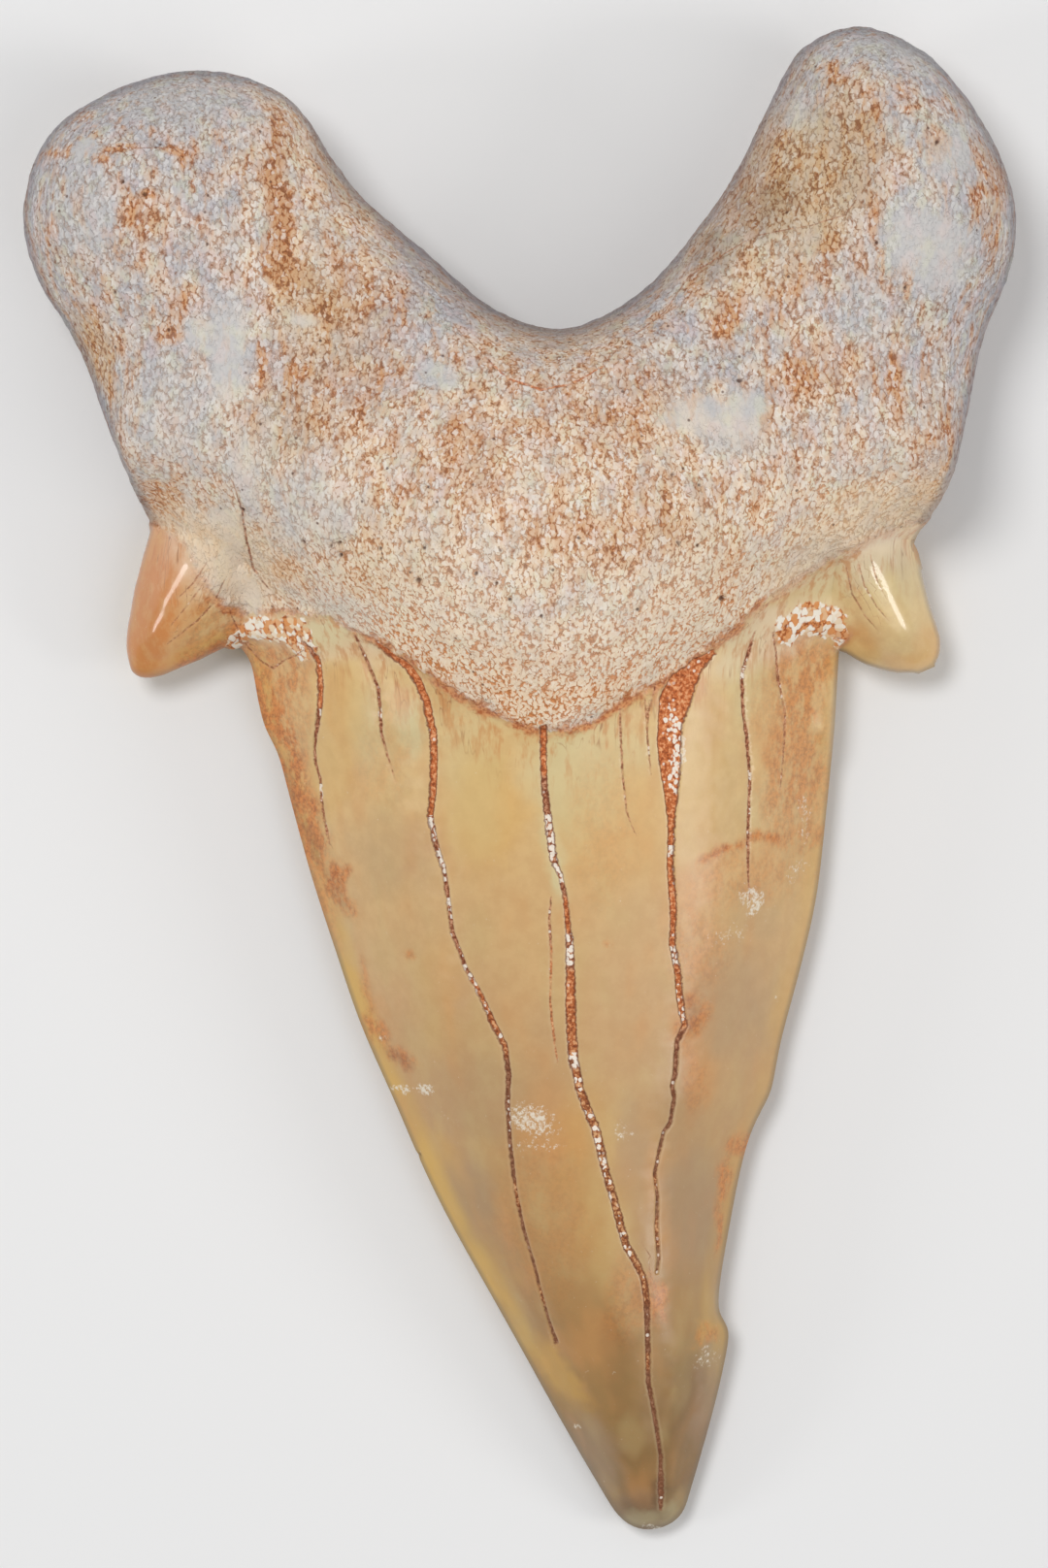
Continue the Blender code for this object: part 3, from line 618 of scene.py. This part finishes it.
def crack_marks(cracks, view):
    """For the nearest crack: offset, half width, presence, and orange and white filling."""
    nearest = np.full(len(view), np.inf)
    found = np.tile(NO_CRACK, (len(view), 1))
    for crack in cracks.values():
        offset, values, past = beside(crack["line"], view, CRACK_REACH)
        gap = np.abs(offset) - values[:, 0]
        rows = np.flatnonzero(gap < nearest)
        nearest[rows] = gap[rows]
        presence = 1 - eased((gap[rows] - CRACK_SIDE) / SIDE_FADE)
        presence *= 1 - eased(past[rows] / END_FADE)
        fills = [within(crack.get(fill, ()), view[rows, 1]) for fill in ("orange", "white")]
        offset = np.clip(offset[rows], -CRACK_FAR, CRACK_FAR)
        found[rows] = np.stack([offset, values[rows, 0], presence, *fills], axis=1)
    return found


def tone_marks(patches, view, sway):
    """How strongly each place has this tone, from 0 to 1, with its patches' edges swayed."""
    found = np.zeros(len(view))
    for x, y, wide, high, strength, *turn in patches:
        angle = math.radians(turn[0] if turn else 0)
        away = view + sway * min(1, 0.09 * min(wide, high)) - (x, y)
        along = (away[:, 0] * math.cos(angle) + away[:, 1] * math.sin(angle)) / wide
        across = (away[:, 1] * math.cos(angle) - away[:, 0] * math.sin(angle)) / high
        found = np.maximum(found, strength * eased(1.55 - np.hypot(along, across)))
    return found


def rim_distance(skin, view):
    """Distance from the outline in the view, as far as it is worked out."""
    found = np.full(len(view), RIM_REACH)
    rim = skin.edges[skin.under[skin.sides].sum(axis=1) == 1]
    order = np.argsort(view[:, 1])
    rows = view[order, 1]
    for start, end in view[rim]:
        low = np.searchsorted(rows, min(start[1], end[1]) - RIM_REACH)
        high = np.searchsorted(rows, max(start[1], end[1]) + RIM_REACH)
        near = order[low:high]
        near = near[np.abs(view[near, 0] - start[0]) < RIM_WINDOW]
        step = end - start
        away = view[near] - start
        part = np.clip(away @ step / max(step @ step, 1e-9), 0, 1)
        found[near] = np.minimum(found[near], np.hypot(*(away - part[:, None] * step).T))
    return found


class Marks:
    """Everything the surface and its colours need to know of each point."""

    def __init__(self, skin):
        view = in_view(skin.points)
        self.under = np.zeros(len(view), bool)
        self.under[skin.faces[skin.under]] = True
        self.under[skin.faces[~skin.under]] = False
        above = beside(NECK, view)[0]
        below = -beside(UNDER_NECK, skin.points[:, :2])[0] / POINT
        self.places = {
            "neck": np.where(self.under, below, above),
            "rim": rim_distance(skin, view),
            "band": eased(beside(NOTCH_BAND, view)[0] / NOTCH_FADE) * ~self.under,
            "pit": np.zeros(len(view)),
        }
        self.cracks = {name: crack_marks(cracks, view) for name, cracks in CRACKS.items()}
        for found in self.cracks.values():
            found[self.under] = NO_CRACK
        sway = [relief(name, skin.points) for name in ("sway across", "sway down")]
        sway = np.stack(sway, axis=1)
        self.tones = {name: tone_marks(TONES[name], view, sway) * ~self.under for name in TONES}
        self.pit_depth = np.zeros(len(view))
        for x, y, radius, depth in PITS:
            part = eased(1.4 - np.hypot(*(view - (x, y)).T) / radius) * ~self.under
            self.places["pit"] = np.maximum(self.places["pit"], part)
            self.pit_depth = np.maximum(self.pit_depth, depth * part)


def near_crack(name, view, band):
    """Whether each place is in a crack of this list or within the band beside it."""
    offset, half = crack_marks(CRACKS[name], view).T[:2]
    return np.abs(offset) - half < band


def divide_between(skin, chosen, edges, step):
    """Halves these edges where both ends are chosen and they are longer than the step."""
    skin.divide(edges & chosen[skin.edges].all(axis=1) & (skin.lengths() > step), smooth=False)


def made_skin(node):
    """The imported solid's surface, smooth and divided most finely where cracks run."""
    skin = Skin(*solid_of(node))
    skin.divide(np.ones(len(skin.edges), bool))
    skin.divide(~skin.under[skin.sides].all(axis=1))
    for _ in range(CRACK_ROUNDS):
        view = in_view(skin.points)
        near = near_crack("wide", view, WIDE_BAND) | near_crack("fine", view, FINE_BAND)
        divide_between(skin, near, ~skin.under[skin.sides].all(axis=1), CRACK_STEP)
    on_root = beside(NECK, in_view(skin.points))[0] > 0
    divide_between(skin, on_root, ~skin.under[skin.sides].any(axis=1), ROOT_STEP)
    return skin


def worked(skin):
    """Moves the skin's points: porous root, ledge, lumps, pits and cracks."""
    marks = Marks(skin)
    points = skin.points
    normals = point_normals(points, skin.faces)
    neck = marks.places["neck"]
    on_root = eased(neck / 6 + 0.3)
    rough = on_root * (1 - 0.8 * marks.tones["smooth"])
    lift = on_root * relief("root waves", points) + rough * relief("root grain", points)
    lift += (1 - on_root) * relief("enamel waves", points)
    ledge = np.exp(-(((neck - 2) / 6.0) ** 2))
    lift += ledge * (LEDGE_HEIGHT + relief("ledge", points))
    lift += marks.tones["matrix"] * (ROCK_HEIGHT + relief("rock", points))
    lift -= marks.pit_depth
    uneven = 0.7 + relief("rubble", points)
    for name, depth in (("wide", WIDE_CRACK_DEPTH), ("fine", FINE_CRACK_DEPTH)):
        offset, half, presence = marks.cracks[name].T[:3]
        inside = eased((half + 1.0 - np.abs(offset)) / 2.0) * presence
        lift -= inside * depth * np.clip(half / 1.5, 0.4, 1) * uneven
    lift = np.where(marks.under, -np.abs(lift), lift)
    skin.points = points + lift[:, None] * normals
    skin.points[:, 2] = np.maximum(skin.points[:, 2], 0)
    return marks


class Graph:
    """Short ways to add and wire the nodes of one material. Colours are given from 0 to 255."""

    def __init__(self, tree):
        self.tree = tree

    def put(self, kind, inputs=(), **settings):
        node = self.tree.nodes.new(kind)
        for name, value in settings.items():
            setattr(node, name, value)
        for key, value in dict(inputs).items():
            self.give(node.inputs[key], value)
        return node

    def give(self, socket, value):
        if isinstance(value, bpy.types.NodeSocket):
            self.tree.links.new(value, socket)
        else:
            socket.default_value = value

    def math(self, operation, *values, clamp=False):
        node = self.put("ShaderNodeMath", enumerate(values), operation=operation, use_clamp=clamp)
        return node.outputs[0]

    def plus(self, first, second):
        return self.math("ADD", first, second)

    def less(self, first, second, clamp=False):
        return self.math("SUBTRACT", first, second, clamp=clamp)

    def times(self, first, second):
        return self.math("MULTIPLY", first, second)

    def most(self, first, second):
        return self.math("MAXIMUM", first, second)

    def vector(self, operation, *values):
        return self.put("ShaderNodeVectorMath", enumerate(values), operation=operation).outputs[0]

    def scaled(self, vector, size):
        node = self.put("ShaderNodeVectorMath", {0: vector}, operation="SCALE")
        self.give(node.inputs["Scale"], size)
        return node.outputs[0]

    def drawn(self, place, squeeze):
        """A place for patterns that are drawn out along y."""
        return self.vector("MULTIPLY", place, (1.0, squeeze, 1.0))

    def warped(self, place, detail, size):
        """A place shifted by noise, so that patterns in it lose their straight sides."""
        shift = self.vector("SUBTRACT", self.noise(place, 3.0, detail, out=1), (0.5, 0.5, 0.5))
        return self.vector("ADD", place, self.scaled(shift, size))

    def axes(self, vector):
        return self.put("ShaderNodeSeparateXYZ", {0: vector}).outputs

    def between(self, value, low, high, to_low=0.0, to_high=1.0, soft=True):
        """The value's way from low to high, as a number from to_low to to_high."""
        kind = "SMOOTHSTEP" if soft else "LINEAR"
        inputs = enumerate((value, low, high, to_low, to_high))
        return self.put("ShaderNodeMapRange", inputs, interpolation_type=kind).outputs[0]

    def shade(self, colour):
        return tint(*colour) if isinstance(colour, tuple) else colour

    def mix(self, part, first, second):
        """The first colour, with this part of the second."""
        inputs = {0: part, 6: self.shade(first), 7: self.shade(second)}
        return self.put("ShaderNodeMix", inputs, data_type="RGBA").outputs[2]

    def over(self, colour, part, strength, second):
        """The colour with another laid over it, this strongly, where the part shows."""
        return self.mix(self.times(part, strength), colour, second)

    def noise(self, at, scale, detail=2.0, roughness=0.5, out=0):
        inputs = {"Vector": at, "Scale": scale, "Detail": detail, "Roughness": roughness}
        return self.put("ShaderNodeTexNoise", inputs).outputs[out]

    def swing(self, *noise):
        """Noise about zero."""
        return self.less(self.noise(*noise), 0.5)

    def cells(self, at, scale):
        """Distances from the middles of cells, and each cell's three chance numbers."""
        node = self.put("ShaderNodeTexVoronoi", {"Vector": at, "Scale": scale})
        return node.outputs["Distance"], self.axes(node.outputs["Color"])

    def ramp(self, value, *stops):
        """A colour for the value, from stops of a position and a colour."""
        node = self.put("ShaderNodeValToRGB", {0: value})
        elements = node.color_ramp.elements
        for _ in stops[2:]:
            elements.new(0.5)
        for element, (position, *colour) in zip(elements, stops):
            element.position = position
            element.color = tint(*colour)
        return node.outputs[0]

    def attribute(self, name, output="Fac"):
        node = self.put("ShaderNodeAttribute", attribute_name=name, attribute_type="GEOMETRY")
        return node.outputs[output]


def root_paint(g, place, marks):
    """Colour and height of the porous root: pale grains with orange and brown hollows between, darkened with
    painted shade.
    """
    bent = g.drawn(g.warped(place, 1, 0.40), 0.55)
    distance, chances = g.cells(bent, 4.9)
    fine = g.noise(bent, 9, 2, 0.6)
    patch = g.noise(g.drawn(place, 0.6), 0.75, 3, 0.6)
    rust, warm = root_stains(g, place, patch, marks)
    near = g.times(g.between(marks["neck"], 150, 15), marks["warm"])
    grain = grain_paint(g, place, chances[0], rust, warm, near, marks)
    gap = gap_stain_and_shade(g, rust, warm, near, marks)
    pores = g.plus(distance, g.times(g.less(fine, 0.5), 1.1))
    hollow = g.plus(pores, g.times(g.less(patch, 0.5), 0.5))
    hollow = g.plus(hollow, g.times(rust, 0.12))
    hollow = g.less(hollow, g.times(marks["smooth"], 0.45))
    strength = g.most(g.between(warm, 0, 1, 0.4, 0.8), g.between(rust, 0.1, 0.7, 0, 0.8))
    strength = g.most(strength, g.times(near, 0.95))
    # The hollows take their rusty and orange stain, darkened as painted shade where the pores sink.
    colour = g.mix(g.between(hollow, 0.50, 0.84, 0, strength), grain, gap)
    # Painted shade: the deepest hollows are darkened further.
    deep_pore_shade = g.between(hollow, 0.84, 1, 0, g.between(near, 0, 1, 0.7, 0.4))
    colour = g.mix(deep_pore_shade, colour, (122, 74, 46))
    height = g.plus(g.times(g.between(pores, 0.54, 0.86), -0.6), g.times(fine, 0.4))
    height = g.times(height, g.between(marks["smooth"], 0, 1, 1, 0.3))
    return root_wear_and_shade(g, place, marks, colour), height


def root_stains(g, place, patch, marks):
    """How rusty and how warm the root is."""
    streak = g.noise(g.drawn(place, 0.28), 1.2, 3, 0.65)
    rust = g.plus(marks["rust"], g.between(streak, 0.46, 0.70, 0, 0.75))
    rust = g.less(rust, g.times(marks["pale"], 0.35), clamp=True)
    warm = g.plus(marks["warm"], g.between(patch, 0.3, 0.7, -0.35, 0.35))
    warm = g.less(warm, g.times(marks["pale"], 0.4), clamp=True)
    return rust, warm


def grain_paint(g, place, chance, rust, warm, near, marks):
    """Colour of the root's single grains: grey to cream, some lighter and some duller."""
    core = g.mix(warm, (188, 185, 188), (244, 220, 192))
    hue = g.noise(g.drawn(place, 0.7), 1, 2)
    core = g.mix(g.between(hue, 0.52, 0.68, 0, 0.4), core, (220, 218, 184))
    core = g.mix(g.between(hue, 0.48, 0.32, 0, 0.4), core, (224, 194, 192))
    core = g.mix(rust, core, (212, 164, 122))
    varied = g.between(marks["smooth"], 0, 1, 1, 0.2)
    light = g.mix(warm, (226, 222, 220), (248, 240, 230))
    core = g.over(core, varied, g.between(chance, 0.55, 1, 0, 0.6), light)
    dull = g.mix(warm, (190, 168, 154), (214, 166, 124))
    core = g.over(core, varied, g.between(chance, 0.28, 0, 0, 0.4), dull)
    core = g.over(core, marks["yellow"], 0.6, (208, 184, 142))
    return g.over(core, near, 0.6, (255, 234, 202))


def gap_stain_and_shade(g, rust, warm, near, marks):
    """Colour of the hollows between the grains: rusty, and orange above the neck, as stain, and brown, which
    is partly painted shade in the pores.
    """
    gap = g.mix(warm, (160, 130, 114), (218, 154, 104))
    gap = g.mix(rust, gap, (196, 116, 62))
    gap = g.over(gap, near, 0.85, (232, 140, 66))
    return g.over(gap, marks["yellow"], 0.6, (168, 124, 74))


def root_wear_and_shade(g, place, marks, colour):
    """Adds pale and cream places, painted shade on the notch's steep slope, a grey painted shade along the
    outline, and single dark pores.
    """
    colour = g.over(colour, marks["pale"], 0.4, (222, 219, 210))
    colour = g.over(colour, marks["cream"], 0.45, (255, 222, 176))
    # Painted shade: the steep band beside the notch, turned away from the light, is darkened.
    colour = g.mix(g.between(marks["band"], 0, 1, 0, 0.3), colour, (150, 118, 96))
    # Painted shade: a cool grey darkening along the outline, where the root turns away from the light.
    colour = g.mix(g.between(marks["rim"], 11, 1, 0, 0.5), colour, (112, 112, 124))
    distance, chances = g.cells(place, 1.1)
    dot = g.times(g.between(distance, 0.13, 0.06), g.between(chances[1], 0.68, 0.7))
    return g.over(colour, dot, 0.75, (92, 62, 48))


def enamel_paint(g, place, marks):
    """Colour and height of the crown and the cusps."""
    sway = g.times(g.swing(place, 0.14, 2), 10)
    down = g.between(g.plus(g.axes(place)[1], sway), 14, -43, soft=False)
    colour = g.ramp(down, *ENAMEL_COLOURS)
    drift = g.noise(g.drawn(place, 0.5), 0.35, 2)
    colour = g.mix(g.between(drift, 0.5, 0.7, 0, 0.4), colour, (214, 152, 92))
    colour = g.mix(g.between(drift, 0.5, 0.3, 0, 0.35), colour, (204, 178, 122))
    mottle = g.noise(place, 1.1, 4, 0.65)
    colour = g.mix(g.between(mottle, 0.35, 0.65, 0, 0.16), colour, (176, 124, 76))
    colour = g.over(colour, marks["cream"], 0.8, (240, 216, 186))
    colour = g.over(colour, marks["pale"], 0.75, (214, 202, 154))
    colour = g.over(colour, marks["yellow"], 0.6, (218, 168, 78))
    colour = g.over(colour, marks["grey"], 0.6, (158, 134, 110))
    colour = edge_paint(g, place, marks, colour)
    colour = enamel_stains(g, place, marks, colour)
    return hairlines(g, place, marks, colour), g.times(g.noise(place, 0.8, 1), 0.4)


def edge_paint(g, place, marks, colour):
    """The thin, see-through cutting edge: a yellow band with a grey rim."""
    band = g.times(g.between(marks["rim"], 24, 10), 0.75)
    patchy = g.between(g.noise(place, 0.25, 2), 0.35, 0.6, 0.4, 1)
    x, y, _ = g.axes(place)
    lean = g.plus(x, g.times(y, 0.35))
    patchy = g.times(patchy, g.between(lean, -4, 2, 1, 0.35))
    patchy = g.times(patchy, g.between(y, -28, -37, 1, 0))
    colour = g.over(colour, band, patchy, (218, 174, 88))
    return g.mix(g.between(marks["rim"], 6, 0.5, 0, 0.6), colour, (128, 112, 90))


def enamel_stains(g, place, marks, colour):
    """Streaks of dirt below the neck, and rusty stains, which are smooth on the cusps."""
    dirt = g.noise(g.drawn(place, 0.22), 1.6, 3, 0.65)
    dirt = g.times(g.between(dirt, 0.48, 0.66), g.between(marks["neck"], -90, -4))
    colour = g.over(colour, dirt, 0.7, (200, 132, 74))
    scratch = g.noise(g.drawn(place, 0.6), 1.4, 4, 0.7)
    least = g.between(marks["gloss"], 0, 0.6, 0.35, 0.75)
    stain = g.times(marks["rust"], g.between(scratch, 0.36, 0.58, least, 1))
    rusty = g.noise(place, 3.4, 3, 0.7)
    rusty = g.ramp(rusty, (0.38, 172, 98, 44), (0.58, 214, 132, 64))
    rusty = g.mix(g.between(marks["gloss"], 0, 0.6), rusty, (206, 122, 54))
    return g.mix(stain, colour, rusty)


def hairlines(g, place, marks, colour):
    """Fine upright lines in the enamel, near the neck."""
    line = g.math("ABSOLUTE", g.swing(g.drawn(place, 0.08), 1.2, 2, 0.6))
    line = g.between(line, 0, 0.02, 1, 0)
    near = g.between(marks["neck"], -75, -5)
    chance = g.between(g.noise(place, 0.5, 1), 0.48, 0.6)
    return g.over(colour, g.times(g.times(line, near), chance), 0.7, (156, 98, 58))


def crack_paint(g, place, scuffed, colour, name):
    """The colour with the cracks of one list laid over it, and where they are open."""
    offset, half, presence = g.axes(g.attribute(name, "Vector"))
    jitter = g.times(g.swing(place, 3.6, 3, 0.6), 5)
    jitter = g.times(jitter, g.between(half, 0.4, 3, 0.35, 1, soft=False))
    gap = g.less(g.math("ABSOLUTE", g.plus(offset, jitter)), half)
    least = g.between(half, 0.6, 2, 0.25, 1)
    presence = g.times(presence, g.between(g.noise(place, 1.6, 2), 0.36, 0.5, least, 1))
    inside = g.times(presence, g.between(half, 0.2, 1.6, 0.55, 1))
    inside = g.times(g.between(gap, 0.6, -0.4), inside)
    rim = g.between(g.math("ABSOLUTE", gap), 1.3, 0.3)
    rim = g.times(rim, g.between(half, 0.8, 3, 0, 0.75))
    halo = g.times(presence, g.between(half, 0.5, 2, 0.2, 1))
    halo = g.times(g.between(gap, 4, 1.2), halo)
    colour = g.over(colour, halo, 0.5, g.mix(0.3, colour, (226, 200, 160)))
    colour = g.mix(inside, colour, crack_filling(g, place, scuffed, name))
    return g.mix(g.times(rim, presence), colour, (112, 62, 36)), inside


def crack_filling(g, place, scuffed, name):
    """Orange, brown or dark earth, with white grains in it."""
    orange, white, _ = g.axes(g.attribute(name + "_fill", "Vector"))
    white = g.most(white, scuffed)
    lit = g.noise(place, 5, 2, 0.6)
    low = g.between(g.axes(place)[1], -6, -22)
    earth = g.ramp(lit, (0.32, 144, 72, 36), (0.5, 204, 112, 60), (0.66, 238, 172, 122))
    brown = g.ramp(lit, (0.35, 92, 56, 34), (0.5, 150, 96, 58), (0.62, 214, 170, 122))
    dark = g.ramp(lit, (0.35, 112, 58, 36), (0.5, 156, 92, 60), (0.62, 206, 150, 116))
    earth = g.over(earth, low, 0.75, brown)
    dark = g.over(dark, low, 0.6, (116, 80, 54))
    distance, chances = g.cells(place, 3.6)
    chance = chances[0]
    lone = g.times(g.between(chance, 0.84, 0.9, 0, 0.8), g.between(distance, 0.42, 0.30))
    packed = g.times(g.math("GREATER_THAN", white, chance), g.between(distance, 0.62, 0.50))
    return g.mix(g.most(packed, lone), g.mix(orange, dark, earth), (246, 234, 218))


def ledge_paint(g, place, neck, marks, colour):
    """The rusty line where root and enamel meet."""
    ledge = g.between(g.math("ABSOLUTE", g.plus(neck, 1)), 8, 2, 0, 0.9)
    ledge = g.times(ledge, g.between(g.noise(place, 0.8, 2), 0.3, 0.55))
    ledge = g.times(ledge, g.between(marks["cream"], 0.3, 0.9, 1, 0.35))
    rusty = g.ramp(g.noise(place, 5), (0.4, 176, 92, 46), (0.6, 222, 150, 96))
    return g.mix(ledge, colour, rusty)


def rock_paint(g, place):
    """Coarse grains of rock left beside the cusps, with orange filling between them."""
    distance, chances = g.cells(g.warped(place, 0, 0.22), 2.7)
    grain = g.ramp(chances[1], (0.12, 222, 150, 92), (0.36, 236, 206, 166), (0.62, 248, 240, 224))
    filling = g.noise(place, 6, 2, 0.6)
    filling = g.ramp(filling, (0.36, 150, 80, 40), (0.5, 204, 122, 64), (0.64, 232, 170, 116))
    return g.mix(g.between(distance, 0.76, 0.54), filling, grain)


def scuff_paint(g, place, marks, colour):
    """Small white flakes, thickest where the enamel is scuffed."""
    flakes = g.plus(g.noise(place, 4.5, 3, 0.75), g.times(marks["scuff"], 0.30))
    return g.over(colour, g.between(flakes, 0.66, 0.86), 0.8, (240, 232, 214))


def surface(g, shader, colour, rough, gloss, height):
    """Gives the shader its colour, roughness, the cusps' shine and the fine relief."""
    shine = g.between(gloss, 0.2, 0.8, ENAMEL_SHINE, CUSP_SHINE)
    bump = {"Strength": BUMP_STRENGTH, "Distance": BUMP_HEIGHT, "Height": height}
    inputs = {
        "Base Color": colour,
        "Roughness": g.between(rough, 0, 1, ENAMEL_ROUGHNESS, ROOT_ROUGHNESS, soft=False),
        "Coat Weight": g.times(g.less(1, rough, clamp=True), shine),
        "Coat Roughness": SHINE_ROUGHNESS,
        "Normal": g.put("ShaderNodeBump", bump).outputs[0],
    }
    for name, value in inputs.items():
        g.give(shader.inputs[name], value)


def painted(names):
    """The tooth's one material, from the marks of these names."""
    made = bpy.data.materials.new("fossil_tooth")
    made.use_nodes = True
    g = Graph(made.node_tree)
    place = g.scaled(g.put("ShaderNodeTexCoord").outputs["Object"], MM_IN_METRE)
    marks = {name: g.attribute(name) for name in names}
    neck = g.plus(marks["neck"], g.times(g.swing(place, 2.0, 3.0, 0.6), 16.0))
    on_root = g.between(neck, -1.5, 1.5)
    root, root_height = root_paint(g, place, marks)
    enamel, enamel_height = enamel_paint(g, place, marks)
    height = g.plus(g.times(g.between(marks["neck"], -1.5, 1.5), root_height), enamel_height)
    colour = ledge_paint(g, place, neck, marks, g.mix(on_root, enamel, root))
    on_rock = g.between(g.plus(marks["matrix"], g.swing(place, 2.5, 2.0)), 0.3, 0.5)
    colour = g.mix(on_rock, colour, rock_paint(g, place))
    # Brown laid over the colour: stains, and painted shade on the lobes' slopes towards the notch.
    colour = g.over(colour, marks["brown"], 0.55, (96, 70, 50))
    colour = scuff_paint(g, place, marks, colour)
    rough = g.most(on_root, on_rock)
    for name in ("fine", "wide"):
        colour, inside = crack_paint(g, place, marks["scuff"], colour, name)
        rough = g.most(rough, inside)
    colour = g.over(colour, g.between(marks["pit"], 0.2, 0.8), 0.8, (84, 50, 36))
    shader = made.node_tree.nodes["Principled BSDF"]
    surface(g, shader, colour, rough, marks["gloss"], height)
    return made


def note_marks(mesh, marks):
    """Writes the marks on the mesh's points and gives their names."""
    values = {**marks.places, **marks.tones}
    for name, numbers in values.items():
        made = mesh.attributes.new(name, "FLOAT", "POINT")
        made.data.foreach_set("value", numbers.astype(np.float32))
    for name, found in marks.cracks.items():
        filling = np.zeros((len(found), 3))
        filling[:, :2] = found[:, 3:]
        for ending, vectors in (("", found[:, :3]), ("_fill", filling)):
            made = mesh.attributes.new(name + ending, "FLOAT_VECTOR", "POINT")
            made.data.foreach_set("vector", vectors.astype(np.float32).reshape(-1))
    return values.keys()


def note_sharp(mesh, skin):
    """Marks the mesh's sharp edges."""
    edges = np.empty(len(mesh.edges) * 2, np.int32)
    mesh.edges.foreach_get("vertices", edges)
    total = len(skin.points)
    sharp = number_of(skin.edges[skin.sharp], total)
    sharp = np.isin(number_of(edges.reshape(-1, 2), total), sharp)
    mesh.attributes.new("sharp_edge", "BOOLEAN", "EDGE").data.foreach_set("value", sharp)


def placed(name, data):
    """An object of this mesh, light or camera, in the scene."""
    made = bpy.data.objects.new(name, data)
    bpy.context.scene.collection.objects.link(made)
    return made


def piece_of(skin, marks):
    """The skin as a shown piece, with its marks."""
    mesh = bpy.data.meshes.new("tooth_skin")
    mesh.from_pydata((skin.points * MM).tolist(), [], skin.faces.tolist())
    mesh.shade_smooth()
    note_sharp(mesh, skin)
    mesh.materials.append(painted(note_marks(mesh, marks)))
    return placed("tooth_skin", mesh)


def floor():
    """A large plain square under the tooth."""
    low, high = -FLOOR_HALF, FLOOR_HALF
    corners = [(low, low, 0), (high, low, 0), (high, high, 0), (low, high, 0)]
    mesh = bpy.data.meshes.new("floor")
    mesh.from_pydata(corners, [], [(0, 1, 2, 3)])
    white = bpy.data.materials.new("floor")
    white.use_nodes = True
    shader = white.node_tree.nodes["Principled BSDF"]
    shader.inputs["Base Color"].default_value = FLOOR_COLOUR
    shader.inputs["Roughness"].default_value = FLOOR_ROUGHNESS
    mesh.materials.append(white)
    return placed("floor", mesh)


def softbox(name, place, size, power):
    """A round light turned to the tooth."""
    light = bpy.data.lights.new(name, "AREA")
    light.shape = "DISK"
    light.size = size
    light.energy = power
    made = placed(name, light)
    made.location = place
    made.rotation_euler = (-Vector(place)).to_track_quat("-Z", "Y").to_euler()


def studio():
    """A white floor, an even white world and soft lights."""
    floor()
    world = bpy.data.worlds.new("studio")
    world.use_nodes = True
    colour, strength = world.node_tree.nodes["Background"].inputs[:2]
    colour.default_value = (1, 1, 1, 1)
    strength.default_value = WORLD_LIGHT
    bpy.context.scene.world = world
    for light in LIGHTS:
        softbox(*light)
    bpy.context.scene.view_settings.view_transform = "Standard"


def camera():
    """A camera straight above the tooth, looking down."""
    made = bpy.data.cameras.new("camera")
    made.lens = LENS
    made.sensor_width = SENSOR
    made.clip_start = NEAREST_SEEN
    made.clip_end = FARTHEST_SEEN
    eye = placed("camera", made)
    eye.location = (EYE_X * MM, EYE_Y * MM, EYE_HEIGHT * MM)
    bpy.context.scene.camera = eye


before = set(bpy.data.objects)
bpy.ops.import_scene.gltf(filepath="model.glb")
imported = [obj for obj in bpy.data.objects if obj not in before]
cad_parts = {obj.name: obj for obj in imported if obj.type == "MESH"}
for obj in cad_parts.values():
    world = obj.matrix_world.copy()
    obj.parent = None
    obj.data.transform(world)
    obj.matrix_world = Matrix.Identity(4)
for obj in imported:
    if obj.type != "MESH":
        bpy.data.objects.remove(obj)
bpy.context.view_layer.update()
skin = made_skin(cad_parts["tooth"])
marks = worked(skin)
tooth = piece_of(skin, marks)
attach(tooth, "root")
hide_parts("tooth")
studio()
camera()
